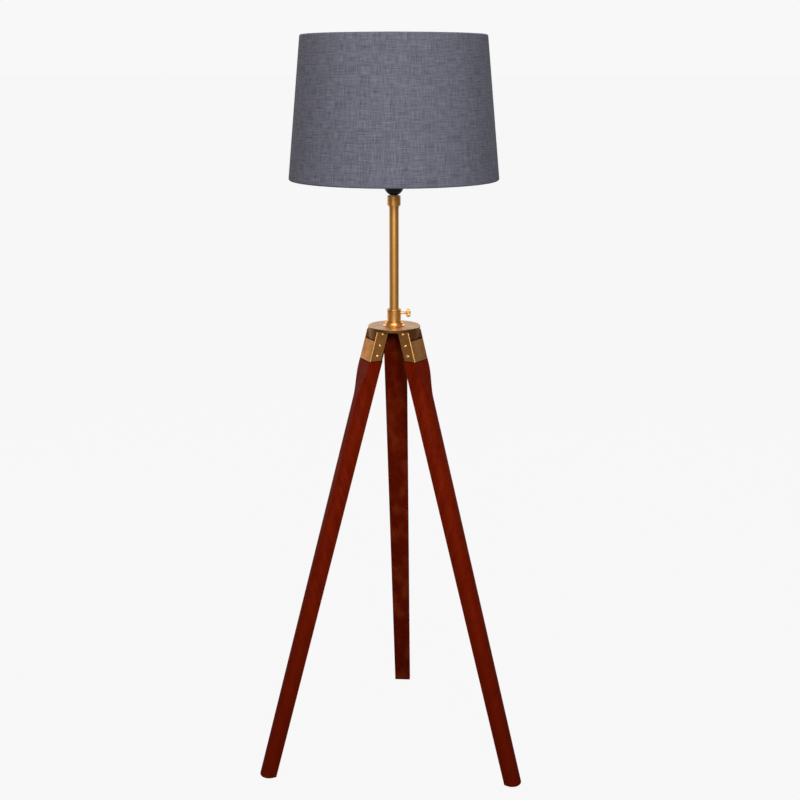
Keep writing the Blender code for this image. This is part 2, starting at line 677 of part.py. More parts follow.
def shade_ring_mesh():
    """Threaded ring that holds the carrier down, with a grooved rim."""
    bore = SKIRT_R + GAP
    edge = SHADE_RING_EDGE
    low, step, high = (HOLDER_JOINT_Z + up for up in SHADE_RING_UP)
    return turned("shade_ring", [
        (bore, low), (SHADE_RING_R - edge, low), (SHADE_RING_R, low + edge),
        (SHADE_RING_R, step - edge), (SHADE_RING_NECK_R, step), (SHADE_RING_NECK_R, high),
        (bore, high),
    ])


def bulb_cap_mesh():
    low = HOLDER_JOINT_Z + BULB_CAP_UP
    high = HOLDER_TOP_Z + BULB_CAP_RISE
    start = low + THREAD_START
    end = high - THREAD_RUN_OUT
    floor = low + BULB_CAP_WALL
    outside, inside = BULB_CAP_BASE_R
    outline = [(BULB_CAP_HOLE_R, low), (outside, low)]
    pitch = (end - start) / THREAD_TURNS
    for turn in range(THREAD_TURNS):
        base = start + turn * pitch
        outline += [(BULB_CAP_R - THREAD_DEPTH, base), (BULB_CAP_R, base + pitch / 2)]
    collar = BULB_CAP_R - THREAD_COLLAR
    bore = BULB_CAP_R - THREAD_DEPTH - BULB_CAP_WALL - RUNNING_GAP
    outline += [(collar, end), (collar, high), (bore, high), (bore, start)]
    outline += [(inside, floor), (BULB_CAP_HOLE_R, floor)]
    return turned("bulb_cap", outline, 24)


def bulb_contact_mesh():
    tip, edge, stem = BULB_CONTACT_R
    low, shoulder, seat, top = (HOLDER_JOINT_Z + up for up in BULB_CONTACT_UP)
    return turned("bulb_contact", [
        (0, low), (tip, shoulder), (edge, seat), (stem, seat), (stem, top), (0, top),
    ], 24)


def bulb_glass_mesh():
    """Neck that widens into a round bulb; the shell is open at the neck."""
    neck_z = HOLDER_TOP_Z + BULB_NECK_UP
    flare_z = neck_z + BULB_NECK_HEIGHT
    centre_z = neck_z + BULB_CENTRE_UP
    walls = []
    for inset in (0, BULB_WALL):
        wall = [(BULB_NECK_R - inset, neck_z), (BULB_NECK_R + BULB_NECK_FLARE - inset, flare_z)]
        wall += arc(0, centre_z, BULB_R - inset, BULB_JOIN_ANGLE, 90, 7)[:-1]
        wall.append((0, centre_z + BULB_R - inset))
        walls.append(wall)
    outer, inner = walls
    return turned("bulb_glass", outer + list(reversed(inner)), 20)


# ---- the shade ----------------------------------------------------------------------------------
def shade_radius(z):
    share = (z - SHADE_BOTTOM_Z) / SHADE_HEIGHT
    return SHADE_BOTTOM_R + (SHADE_TOP_R - SHADE_BOTTOM_R) * share


def cone_shell(name, depth_in, wall, low, high):
    """A conical shell that follows the shade's outline, so far inside its outer face."""
    outline = []
    for z in (low, high):
        outline.append((shade_radius(z) - depth_in, z))
    for z in (high, low):
        outline.append((shade_radius(z) - depth_in - wall, z))
    return turned(name, outline, SHADE_SEGMENTS)


def wire_ring_radius(z):
    return shade_radius(z) - FABRIC_WALL - GAP - LINING_WALL - RUNNING_GAP - WIRE_R


def wire_ring(name, z):
    circle = arc(wire_ring_radius(z), z, WIRE_R, 0, 360, 4)[:-1]
    return turned(name, circle, SHADE_SEGMENTS)


def spider_mesh(wire_z):
    """Carrier ring with three arms that go down and out to the lower wire ring."""
    low = HOLDER_JOINT_Z + CARRIER_UP
    high = low + CARRIER_WALL
    carrier = turned("carrier", [
        (CARRIER_BORE_R, low), (CARRIER_R, low), (CARRIER_R, high), (CARRIER_BORE_R, high),
    ])
    start = Vector((ARM_ROOT_R, 0, low + CARRIER_WALL / 2))
    end = Vector((wire_ring_radius(wire_z) - WIRE_R - GAP, 0, wire_z + RUNNING_GAP))
    direction = end - start
    arm = rod_mesh("arm", ARM_R, 0, direction.length, 12)
    tilt = math.atan2(direction.x, direction.z)
    place = Matrix.Translation(start) @ Matrix.Rotation(tilt, 4, "Y")
    arms = [(arm, about_z(math.radians(120 * k + ARM_TURN)) @ place) for k in range(3)]
    return combined("shade_spider", carrier, arms, "UNION")


# ---- assembly -----------------------------------------------------------------------------------
def build_head(axis, brass, steel):
    add_piece("head_casting", head_mesh(), brass, axis)
    add_piece("hub_boss", hub_boss_mesh(), brass, axis)
    add_piece("hub_locknut", hub_locknut_mesh(), steel, axis)
    add_piece("clamp_collar", clamp_collar_mesh(), brass, axis)
    add_piece("collar_ring", collar_ring_mesh(), brass, axis)
    add_piece("clamp_sleeve", clamp_sleeve_mesh(), brass, axis)
    screw_axis = make_empty("thumbscrew_axis", (0, 0, CLAMP_Z), parent=axis)
    add_piece("thumbscrew", thumbscrew_mesh(), brass, screw_axis, rotation=(0, math.pi / 2, 0))


def build_legs(axis, wood, brass, steel):
    leg = leg_mesh()
    bracket = bracket_mesh()
    bolt = pivot_bolt_mesh()
    nut = pivot_nut_mesh()
    screw = screw_mesh()
    seat = BRACKET_WIDTH / 2 + GAP
    head_out = {1: (-math.pi / 2, 0, 0), -1: (math.pi / 2, 0, 0)}
    for number, angle in LEG_ANGLES.items():
        place = (PIVOT_R * math.cos(angle), PIVOT_R * math.sin(angle), PIVOT_Z)
        pivot = make_empty(f"leg_{number}_pivot", place, angle, axis)
        add_piece(f"leg_{number}", leg, wood, pivot)
        add_piece(f"bracket_{number}", bracket, brass, pivot)
        add_piece(f"pivot_bolt_{number}", bolt, brass, pivot, (0, seat, 0), head_out[1])
        add_piece(f"pivot_nut_{number}", nut, brass, pivot, (0, -seat, 0), head_out[-1])
        for z, level in zip(CHEEK_SCREW_Z, ("lower", "upper")):
            x = leg_outer(z) - LEG_DEPTH / 2 - PIVOT_R
            for side, hand in ((1, "left"), (-1, "right")):
                name = f"screw_{number}_{level}_{hand}"
                add_piece(name, screw, steel, pivot, (x, side * seat, z - PIVOT_Z), head_out[side])


def build_pole(axis, brass, steel, black, ceramic, glass):
    add_piece("tube", tube_mesh(), brass, axis)
    add_piece("cable_bush", cable_bush_mesh(), black, axis)
    add_piece("top_cap", top_cap_mesh(), brass, axis)
    add_piece("nipple", nipple_mesh(), steel, axis)
    add_piece("nipple_locknut", nipple_locknut_mesh(), steel, axis)
    add_piece("lampholder_cap", lampholder_cap_mesh(), black, axis)
    add_piece("lampholder_skirt", lampholder_skirt_mesh(), black, axis)
    add_piece("lampholder_insert", lampholder_insert_mesh(), ceramic, axis)
    add_piece("centre_contact", centre_contact_mesh(), brass, axis)
    add_piece("shade_ring", shade_ring_mesh(), black, axis)
    add_piece("bulb_cap", bulb_cap_mesh(), steel, axis)
    add_piece("bulb_contact", bulb_contact_mesh(), black, axis)
    add_piece("bulb_glass", bulb_glass_mesh(), glass, axis)


def build_shade(axis, linen, lining, wire):
    fold = FABRIC_WALL + GAP
    low_wire = SHADE_BOTTOM_Z + WIRE_R + WIRE_UP
    high_wire = TOTAL_HEIGHT - WIRE_R - WIRE_UP
    shell = cone_shell("shade_fabric", 0, FABRIC_WALL, SHADE_BOTTOM_Z, TOTAL_HEIGHT)
    add_piece("shade_fabric", shell, linen, axis)
    liner = cone_shell("shade_lining", fold, LINING_WALL, SHADE_BOTTOM_Z + GAP, TOTAL_HEIGHT - GAP)
    add_piece("shade_lining", liner, lining, axis)
    add_piece("shade_bottom_wire", wire_ring("shade_bottom_wire", low_wire), wire, axis)
    add_piece("shade_top_wire", wire_ring("shade_top_wire", high_wire), wire, axis)
    add_piece("shade_spider", spider_mesh(low_wire), wire, axis)


def main():
    clear_scene()
    brass = make_material("brass", (0.80, 0.58, 0.28), 0.30, metallic=1.0)
    steel = make_material("steel", (0.62, 0.60, 0.56), 0.35, metallic=1.0)
    wood = make_material("varnished_wood", (0.16, 0.035, 0.018), 0.35)
    linen = make_material("grey_linen", (0.34, 0.32, 0.35), 0.9)
    lining = make_material("white_lining", (0.86, 0.85, 0.82), 0.6)
    wire = make_material("white_wire", (0.80, 0.80, 0.78), 0.4)
    black = make_material("black_plastic", (0.02, 0.02, 0.02), 0.4)
    ceramic = make_material("ceramic", (0.85, 0.83, 0.78), 0.4)
    glass = make_material("frosted_glass", (0.95, 0.95, 0.93), 0.5, transmission=0.6)
    axis = make_empty("pole_axis", (0, POLE_Y, 0))
    build_head(axis, brass, steel)
    build_legs(axis, wood, brass, steel)
    build_pole(axis, brass, steel, black, ceramic, glass)
    build_shade(axis, linen, lining, wire)


main()
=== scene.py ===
"""Looks for the tripod floor lamp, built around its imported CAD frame. Metres, +Z up.

Each visible piece is made again, finer than its CAD solid, in the same place and at the same size.
It rides on the same body. Pieces hidden inside keep their CAD mesh and get a better material.
Pieces round the pole are drawn about its axis, with x as the distance from it. The pieces of a leg
are drawn on the +X side and turned into place.
"""
import math

import bmesh
import bpy
from mathutils import Matrix, Vector


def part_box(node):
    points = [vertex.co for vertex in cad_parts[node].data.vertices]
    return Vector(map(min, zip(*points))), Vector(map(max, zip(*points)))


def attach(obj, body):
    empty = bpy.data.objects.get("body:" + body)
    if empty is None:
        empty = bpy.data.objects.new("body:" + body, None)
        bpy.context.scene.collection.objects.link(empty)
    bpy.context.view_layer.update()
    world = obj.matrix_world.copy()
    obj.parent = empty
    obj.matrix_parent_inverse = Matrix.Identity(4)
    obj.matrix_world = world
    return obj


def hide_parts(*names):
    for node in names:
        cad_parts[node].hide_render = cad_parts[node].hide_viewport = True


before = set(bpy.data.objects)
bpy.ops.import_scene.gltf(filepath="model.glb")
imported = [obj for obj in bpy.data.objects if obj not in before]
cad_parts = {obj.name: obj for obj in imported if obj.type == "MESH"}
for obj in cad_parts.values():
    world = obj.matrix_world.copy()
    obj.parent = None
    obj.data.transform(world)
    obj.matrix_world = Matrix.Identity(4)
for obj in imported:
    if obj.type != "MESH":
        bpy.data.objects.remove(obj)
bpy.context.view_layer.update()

MM = 0.001
FULL_TURN = 2 * math.pi

# ---- places taken from the frame ----
tube_low, tube_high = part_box("tube")
POLE = Matrix.Translation(((tube_low.x + tube_high.x) / 2, (tube_low.y + tube_high.y) / 2, 0))


def round_size(node):
    """Radius, lowest and highest z of a node that is round about the pole."""
    low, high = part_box(node)
    return (high.x - low.x) / 2, low.z, high.z


def round_mm(node):
    """A round node's radius and height in millimetres, and its lowest z in metres."""
    radius, low, high = round_size(node)
    return radius / MM, (high - low) / MM, low


def rim_radius(node, z):
    """The node's largest distance from the pole's axis at a height."""
    points = [v.co - POLE.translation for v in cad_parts[node].data.vertices]
    return max(point.xy.length for point in points if abs(point.z - z) < 0.5 * MM)


SHADE_BOTTOM_R, SHADE_BOTTOM_Z, SHADE_TOP_Z = round_size("shade_fabric")
SHADE_TOP_R = rim_radius("shade_fabric", SHADE_TOP_Z)
DISC_R = rim_radius("head_casting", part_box("head_casting")[0].z + MM)
LUG_BOTTOM_Z, DISC_TOP_Z = round_size("head_casting")[1:]

# ---- sizes of the legs, brackets and head, as in the CAD ----
LEG_REACH = 306.3 * MM  # outer face at the floor, from the pole's axis
LEG_SLOPE = 0.2845
LEG_DEPTH = 28.7 * MM
LEG_FOOT_WIDTH = 34.5 * MM
LEG_TOP_WIDTH = 45.6 * MM
LEG_CORNER_R = 17 * MM
ROUNDING_ENDS_Z = 775 * MM
ROUNDING_STARTS_Z = 838 * MM
SOLE_EDGE_R = 4.5 * MM
BLOCK_EDGE_R = MM
INNER_EDGE_R = 1.2 * MM
JOINT_LINE = 1.5 * MM  # dark line where the wood meets the bracket
BRACKET_WIDTH = 46 * MM
BRACKET_WALL = 1.4 * MM
BRACKET_BEND_R = 1.8 * MM
BRACKET_BOTTOM_Z = 851 * MM
BRACKET_PANEL_TOP_Z = 890 * MM
BRACKET_EAR_TOP_Z = 907.5 * MM
CHEEK_WIDTH = 24.7 * MM
CHEEK_SCREW_Z = (861 * MM, 881 * MM)
PIVOT_Z = 903 * MM
PIVOT_R = LEG_REACH - LEG_SLOPE * PIVOT_Z - LEG_DEPTH / 2
SPLAY = math.atan(LEG_SLOPE)
PIVOT_BOLT_R = 2.5 * MM
PIVOT_HEAD_HEIGHT = 2.8 * MM
CHEEK_SCREW_R = 1.75 * MM
CHEEK_SCREW_HEAD = (3.4 * MM, 2 * MM)  # its radius and height
DISC_LIP = 5.5 * MM
DISC_EDGE_R = 0.9 * MM
LUG_ROUND_R = 11.5 * MM
STEM_HOLE_R = 12.3 * MM
GAP = 0.3 * MM  # between pieces that touch
RUNNING_GAP = 0.4 * MM  # between pieces that move on each other
CLEAR = 10 * MM  # how far a cutting tool goes past what it cuts
LEGS = {1: ("rear", 90), 2: ("left", 210), 3: ("right", 330)}
REAR_LEG_SHADE = 0.22  # painted shade: how much the rear leg, behind the others, is painted into shade

# ---- shade ----
FABRIC_WALL = 0.6 * MM
LINING_WALL = 0.5 * MM
LINING_MARGIN = 1.2 * MM  # from the shade's top and bottom
ROLL_R = 3.1 * MM  # the fabric's edge is rolled round the wire rings
TUCK = 6 * MM  # and goes on this far inside the shade
SEAM_OVERLAP = 10 * MM
SEAM_GAP = 0.15 * MM  # between the two layers of the seam
SEAM_STEP = 2 * MM  # the length of the upper layer's rise onto the lower one
SEAM_ROLL_LIFT = 0.5 * MM  # how much the upper layer rises where it is rolled
SHADE_COLUMNS = 240


# ---- mesh tools ----
def new_object(name, data):
    made = bpy.data.objects.new(name, data)
    bpy.context.collection.objects.link(made)
    return made


def spread(low, high, steps):
    """Evenly spaced values, from low to high."""
    return [low + (high - low) * k / steps for k in range(steps + 1)]


def smooth(share):
    """The share from 0 to 1, eased at both ends."""
    return share * share * (3 - 2 * share)


def finish_mesh(name, bm, sharp_angle=40):
    bmesh.ops.recalc_face_normals(bm, faces=bm.faces)
    mesh = bpy.data.meshes.new(name)
    bm.to_mesh(mesh)
    bm.free()
    mesh.shade_smooth()
    mesh.set_sharp_from_angle(angle=math.radians(sharp_angle))
    return mesh


def curve_point(start, bend, end, t):
    """A point on a quadratic curve, with t from 0 to 1."""
    return start * (1 - t) ** 2 + bend * 2 * t * (1 - t) + end * t ** 2


def filleted(corners, steps=4):
    """A closed outline from (a, b, fillet) corners, or (a, b) ones that stay sharp.

    Points on a fillet carry its number, for turned().
    """
    corners = [(*corner, 0)[:3] for corner in corners]
    outline = []
    for number, (a, b, fillet) in enumerate(corners):
        here = Vector((a, b))
        before = Vector(corners[number - 1][:2]) - here
        after = Vector(corners[(number + 1) % len(corners)][:2]) - here
        if fillet == 0:
            outline.append((a, b, None))
            continue
        reach = fillet / math.tan(before.angle(after) / 2)
        start = here + before.normalized() * min(reach, before.length * 0.48)
        end = here + after.normalized() * min(reach, after.length * 0.48)
        for t in spread(0, 1, steps):
            outline.append((*curve_point(start, here, end, t), number))
    return outline


def arc(center_a, center_b, radius, start, end, steps):
    """Points on a circle, from start to end degrees."""
    points = []
    for degrees in spread(start, end, steps):
        angle = math.radians(degrees)
        points.append((center_a + radius * math.cos(angle), center_b + radius * math.sin(angle)))
    return points


def turned(name, outline, segments=96, shape=None, sharp_angle=40):
    """Turn a closed (r, z) outline about Z. shape(r, z, angle) may change the radius.

    A third value on a point is its fillet's number. Faces on a fillet are marked for the brighter
    edge colour.
    """
    bm = bmesh.new()
    wear_and_highlight = bm.faces.layers.float.new("wear_and_highlight")
    rings = []
    for r, z, *_ in outline:
        if r < 1e-9:
            rings.append([bm.verts.new((0, 0, z))] * segments)
            continue
        ring = []
        for angle in spread(0, FULL_TURN, segments)[:-1]:
            size = shape(r, z, angle) if shape else r
            ring.append(bm.verts.new((size * math.cos(angle), size * math.sin(angle), z)))
        rings.append(ring)
    for number, ring in enumerate(rings):
        follows = (number + 1) % len(rings)
        marks = [outline[k][2] if len(outline[k]) > 2 else None for k in (number, follows)]
        worn_and_highlit = marks[0] is not None and marks[0] == marks[1]
        for step in range(segments):
            after = (step + 1) % segments
            corners = [ring[step], ring[after], rings[follows][after], rings[follows][step]]
            corners = list(dict.fromkeys(corners))
            if len(corners) > 2:
                bm.faces.new(corners)[wear_and_highlight] = float(worn_and_highlit)
    return finish_mesh(name, bm, sharp_angle)


def lathe(name, corners, floor, segments=96, shape=None, steps=4):
    """Turn a profile of (radius, height above the floor, fillet) corners, in millimetres."""
    outline = [(r * MM, floor + z * MM, mark) for r, z, mark in filleted(corners, steps)]
    return turned(name, outline, segments, shape)


def bridged(bm, loops):
    """Faces between each loop of vertices and the next, and at both ends."""
    for low, high in zip(loops, loops[1:]):
        for step in range(len(low)):
            after = (step + 1) % len(low)
            bm.faces.new((low[step], low[after], high[after], high[step]))
    bm.faces.new(list(reversed(loops[0])))
    bm.faces.new(loops[-1])


def lofted(name, rings, sharp_angle=40):
    """Join rings of equally many points into a closed solid with flat ends."""
    bm = bmesh.new()
    bridged(bm, [[bm.verts.new(point) for point in ring] for ring in rings])
    return finish_mesh(name, bm, sharp_angle)


def prism(name, outline, low, high, axis="Z"):
    """An (a, b) outline drawn out along an axis."""
    def point(a, b, place):
        return (a, b, place) if axis == "Z" else (a, place, b)
    return lofted(name, [[point(a, b, place) for a, b in outline] for place in (low, high)])


def box_mesh(name, low, high):
    outline = [(low[0], low[1]), (high[0], low[1]), (high[0], high[1]), (low[0], high[1])]
    return prism(name, outline, low[2], high[2])


def rod_mesh(name, radius, low, high, segments=48):
    return turned(name, [(0, low), (radius, low), (radius, high), (0, high)], segments)


def swept(bm, path, radius, segments=16):
    """A round rod along a path of points, with closed ends."""
    rings = []
    for number, point in enumerate(path):
        ahead = path[min(number + 1, len(path) - 1)] - path[max(number - 1, 0)]
        frame_of_ring = ahead.to_track_quat("Z", "Y").to_matrix()
        ring = []
        for angle in spread(0, FULL_TURN, segments)[:-1]:
            offset = Vector((radius * math.cos(angle), radius * math.sin(angle), 0))
            ring.append(bm.verts.new(point + frame_of_ring @ offset))
        rings.append(ring)
    bridged(bm, rings)


def cut(name, mesh, cutters):
    """The mesh with others, each a (mesh, matrix) pair, cut out of it."""
    base = new_object("boolean_base", mesh)
    tools = []
    for cutter, matrix in cutters:
        tool = new_object("boolean_tool", cutter)
        tool.matrix_world = matrix
        modifier = base.modifiers.new("boolean", "BOOLEAN")
        modifier.operation = "DIFFERENCE"
        modifier.object = tool
        tools.append(tool)
    bpy.context.view_layer.update()
    graph = bpy.context.evaluated_depsgraph_get()
    result = bpy.data.meshes.new_from_object(base.evaluated_get(graph))
    result.name = name
    for tool in tools + [base]:
        bpy.data.objects.remove(tool, do_unlink=True)
    return result


def softened(name, mesh, width, segments=2, angle=30):
    """Round the mesh's sharp edges, and mark the rounded faces for the brighter edge colour."""
    bm = bmesh.new()
    bm.from_mesh(mesh)
    bmesh.ops.remove_doubles(bm, verts=bm.verts, dist=0.01 * MM)
    bmesh.ops.dissolve_limit(bm, angle_limit=math.radians(0.5), verts=bm.verts, edges=bm.edges)
    wear_and_highlight = bm.faces.layers.float.get("wear_and_highlight") or bm.faces.layers.float.new("wear_and_highlight")
    edges = [e for e in bm.edges
             if len(e.link_faces) == 2 and e.calc_face_angle() > math.radians(angle)]
    made = bmesh.ops.bevel(bm, geom=edges, offset=width, segments=segments, profile=0.5,
                           affect="EDGES", clamp_overlap=True)
    for face in bm.faces:
        face[wear_and_highlight] = 0.0
    for face in made["faces"]:
        face[wear_and_highlight] = 1.0
    return finish_mesh(name, bm)


def marked(mesh, name, rule):
    """Store rule(centre, normal) of each face under a name that a material reads."""
    attribute = mesh.attributes.new(name, "FLOAT", "FACE")
    for face in mesh.polygons:
        attribute.data[face.index].value = rule(face.center, face.normal)
    return mesh


def add_piece(name, mesh, material, body, nodes, matrix=Matrix()):
    """A finished piece about the pole's axis, in place of CAD nodes of the same body."""
    mesh = mesh.copy()
    mesh.transform(matrix)
    mesh.materials.clear()
    mesh.materials.append(material)
    piece = new_object(name, mesh)
    piece.matrix_world = POLE
    weighted = piece.modifiers.new("flat_faces_stay_flat", "WEIGHTED_NORMAL")
    weighted.keep_sharp = True
    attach(piece, body)
    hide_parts(*nodes)
    return piece


def rotated(degrees, axis):
    return Matrix.Rotation(math.radians(degrees), 4, axis)


def about_z(degrees):
    return rotated(degrees, "Z")


def along_y(x, y, z):
    """A place where what was drawn along Z lies along Y."""
    return Matrix.Translation((x, y, z)) @ rotated(-90, "X")


# ---- material tools ----
def node(tree, kind, inputs=None, **settings):
    """A shader node with its settings, and its inputs either linked or given a value."""
    made = tree.nodes.new("ShaderNode" + kind)
    for key, value in settings.items():
        setattr(made, key, value)
    for key, value in (inputs or {}).items():
        if isinstance(value, bpy.types.NodeSocket):
            tree.links.new(value, made.inputs[key])
        else:
            made.inputs[key].default_value = value
    return made


def calc(tree, operation, a, b=0.0, clamp=False):
    made = node(tree, "Math", {0: a, 1: b}, operation=operation, use_clamp=clamp)
    return made.outputs[0]


def plus(tree, a, b):
    return calc(tree, "ADD", a, b)


def times(tree, a, b):
    return calc(tree, "MULTIPLY", a, b)


def between(tree, value, low, high, start=0.0, end=1.0):
    """The value's place between low and high, as a number from start to end."""
    made = node(tree, "MapRange", {0: value, 1: low, 2: high, 3: start, 4: end})
    return made.outputs[0]


def mixed(tree, factor, a, b):
    """Colour a, going to colour b as the factor goes to 1."""
    return node(tree, "Mix", {0: factor, 6: a, 7: b}, data_type="RGBA").outputs[2]


def color(r, g, b):
    return (r, g, b, 1.0)


def noise(tree, vector, scale, detail=2.0, roughness=0.5, stretch=(1, 1, 1)):
    """Noise from 0 to 1. Scale is in features for each metre; stretch divides it by axis."""
    place = node(tree, "Mapping", {"Vector": vector, "Scale": [scale / s for s in stretch]})
    made = node(tree, "TexNoise", {"Vector": place.outputs[0], "Scale": 1.0, "Detail": detail,
                                   "Roughness": roughness})
    return made.outputs["Fac"]


def bump(tree, height, distance, strength=1.0, normal=None):
    inputs = {"Height": height, "Distance": distance, "Strength": strength}
    if normal is not None:
        inputs["Normal"] = normal
    return node(tree, "Bump", inputs).outputs[0]


def new_material(name, **constants):
    """A material with constant values by socket name, its tree, and the object's coordinates."""
    material = bpy.data.materials.new(name)
    material.use_nodes = True
    tree = material.node_tree
    shader = tree.nodes["Principled BSDF"]
    for key, value in constants.items():
        shader.inputs[key.replace("_", " ")].default_value = value
    return material, tree, node(tree, "TexCoord").outputs["Object"]


def surfaced(material, base, rough, normal):
    """The material, with the values that change over its surface linked to its shader."""
    tree = material.node_tree
    for key, value in (("Base Color", base), ("Roughness", rough), ("Normal", normal)):
        tree.links.new(value, tree.nodes["Principled BSDF"].inputs[key])
    return material


def attribute(tree, name):
    return node(tree, "Attribute", attribute_name=name).outputs["Fac"]


# ---- materials ----
# dark aged brass colour, for tarnish and also for painted shade on the head's sides
AGED_AND_SHADED_BRASS = color(0.2, 0.075, 0.017)
SIDE_SHADE = 0.94  # painted shade: how dark the head's sides and underside are painted
BRASSES = {
    # its name, bright and dull colours, roughness, tool marks for each metre along x, y and z,
    # their depth in millimetres, and how cloudy it is
    "tube": ("brass_drawn", (0.76, 0.41, 0.125), (0.62, 0.285, 0.07), 0.43, (900, 900, 60),
             0.012, 0.18),
    "turned": ("brass_turned", (0.9, 0.48, 0.15), (0.7, 0.31, 0.07), 0.34, (60, 60, 5200),
               0.02, 0.15),
    "cast": ("brass_cast", (0.86, 0.54, 0.31), (0.72, 0.42, 0.2), 0.36, (600, 600, 600),
             0.05, 0.3),
    "sheet": ("brass_sheet", (0.76, 0.37, 0.115), (0.42, 0.18, 0.04), 0.42, (700, 700, 260),
              0.06, 0.45),
    "bolts": ("brass_bolts", (0.95, 0.64, 0.27), (0.82, 0.47, 0.15), 0.36, (900, 900, 900),
              0.01, 0.1),
}
COATED = {
    # its name, colour, roughness, grains for each metre, their depth in millimetres, change of
    # tone, and clear coat's weight and roughness
    "lining": ("white_lining_film", (0.8, 0.79, 0.75), 0.5, 900, 0.02, 0.04, 0, 0),
    "wire": ("white_wire_coating", (0.78, 0.77, 0.74), 0.36, 1400, 0.02, 0.1, 0, 0),
    "black": ("black_moulded_plastic", (0.012, 0.012, 0.013), 0.34, 1600, 0.015, 0.3, 0, 0),
    "ceramic": ("glazed_ceramic", (0.82, 0.79, 0.72), 0.24, 700, 0.02, 0.08, 0.5, 0.1),
    "glass": ("opal_glass", (0.88, 0.87, 0.84), 0.2, 500, 0.01, 0.03, 0.6, 0.06),
}


def brass_material(name, bright, dull, roughness, brush, brush_depth, cloudy):
    """Aged brass: clouds of tarnish, small mottling, tool marks, edges brightened by rubbing, which
    on the brackets' bends is also a painted highlight, and painted shade where marked.
    """
    bright, dull = color(*bright), color(*dull)
    material, tree, coords = new_material(name, Metallic=1.0)
    clouds = between(tree, noise(tree, coords, 38, 5, 0.6), 0.38, 0.68)
    mottle = between(tree, noise(tree, coords, 430, 4, 0.65), 0.3, 0.7)
    specks = between(tree, noise(tree, coords, 1900, 2), 0.62, 0.74)
    marks = noise(tree, coords, 1, 3, 0.6, [1 / s for s in brush])
    base = mixed(tree, mottle, dull, bright)
    base = mixed(tree, times(tree, clouds, cloudy), base, AGED_AND_SHADED_BRASS)
    base = mixed(tree, times(tree, specks, 0.35), base, AGED_AND_SHADED_BRASS)
    # painted shade: faces marked for it go to the dark colour
    base = mixed(tree, attribute(tree, "painted_side_shade"), base, AGED_AND_SHADED_BRASS)
    # brighter where marked: rubbed edges, and a painted highlight on the brackets' bends
    worn_and_highlit = times(tree, attribute(tree, "wear_and_highlight"), between(tree, mottle, 0, 1, 0.65, 1))
    base = mixed(tree, worn_and_highlit, base, bright)
    rough = between(tree, plus(tree, mottle, marks), 0.5, 1.5, roughness + 0.09, roughness - 0.06)
    rough = plus(tree, rough, times(tree, clouds, 0.1))
    rough = calc(tree, "SUBTRACT", rough, times(tree, worn_and_highlit, 0.1), clamp=True)
    normal = bump(tree, mottle, 0.03 * MM, 0.5, bump(tree, marks, brush_depth * MM))
    return surfaced(material, base, rough, normal)


def steel_material():
    material, tree, coords = new_material("zinc_steel", Metallic=1.0)
    mottle = between(tree, noise(tree, coords, 500, 4, 0.6), 0.3, 0.7)
    bright, dull = color(0.62, 0.6, 0.56), color(0.341, 0.3, 0.252)
    return surfaced(material, mixed(tree, mottle, dull, bright),
                    between(tree, mottle, 0, 1, 0.46, 0.29), bump(tree, mottle, 0.02 * MM))


def wood_material(name, leg_angle, offset, rear_shade):
    """Red-brown hardwood under a thin dark varnish. The grain runs along the sloping leg."""
    heart, pale = color(0.145, 0.0068, 0.0008), color(0.24, 0.0145, 0.0014)
    streak, flame = color(0.105, 0.007, 0.001), color(0.265, 0.019, 0.0016)
    # foot: painted shade, the colour the legs go to near the floor
    pore, foot = color(0.04, 0.003, 0.001), color(0.11, 0.006, 0.0008)
    # dark: painted shade laid over the whole rear leg
    dark, rubbed = color(0.03, 0.003, 0.0005), color(0.3, 0.04, 0.008)
    # a dark line where the wood meets the bracket, and painted shade on the tenon
    dark_line_and_shade = color(0.012, 0.003, 0.002)
    material, tree, coords = new_material(name, Specular_IOR_Level=0.025)
    unturned = node(tree, "Mapping", {"Vector": coords,
                                      "Rotation": (0, 0, -math.radians(leg_angle))})
    place = node(tree, "Mapping", {"Vector": unturned.outputs[0], "Location": offset,
                                   "Rotation": (0, -SPLAY, 0)}).outputs[0]
    waver = noise(tree, place, 9, 2, 0.5, (1, 1, 3))
    shift = node(tree, "CombineXYZ", {0: times(tree, waver, 0.03), 1: times(tree, waver, 0.02)})
    along = node(tree, "VectorMath", {0: place, 1: shift.outputs[0]}, operation="ADD").outputs[0]
    bands = noise(tree, along, 150, 3, 0.55, (1, 1, 60))
    streaks = noise(tree, along, 620, 3, 0.6, (1, 1, 45))
    pores = between(tree, noise(tree, along, 1500, 1, 0.5, (1, 1, 26)), 0.6, 0.7)
    figure = noise(tree, place, 40, 3, 0.5, (1, 1, 8))
    height = node(tree, "SeparateXYZ", {0: coords}).outputs[2]
    worn_and_highlit = times(tree, attribute(tree, "wear_and_highlight"), between(tree, figure, 0.45, 0.7, 0, 0.5))
    base = mixed(tree, between(tree, bands, 0.3, 0.7), heart, pale)
    for amount, tint in (
            (between(tree, streaks, 0.4, 0.75, 0, 0.5), streak),
            (between(tree, figure, 0.4, 0.7, 0, 0.3), flame),
            (times(tree, pores, 0.6), pore),
            # painted shade: the wood goes dark towards the floor
            (between(tree, height, 0.0, 0.6, 0.7, 0.0), foot),
            # first on the next line: painted shade over the whole rear leg
            # last on the next line: that dark line, and the tenon's painted shade
            (rear_shade, dark), (worn_and_highlit, rubbed), (attribute(tree, "joint_line_and_shade"), dark_line_and_shade)):
        base = mixed(tree, amount, base, tint)
    rough = between(tree, plus(tree, bands, figure), 0.6, 1.4, 0.5, 0.36)
    grooves = calc(tree, "SUBTRACT", times(tree, streaks, 0.4), pores)
    return surfaced(material, base, rough, bump(tree, grooves, 0.035 * MM, 0.7))


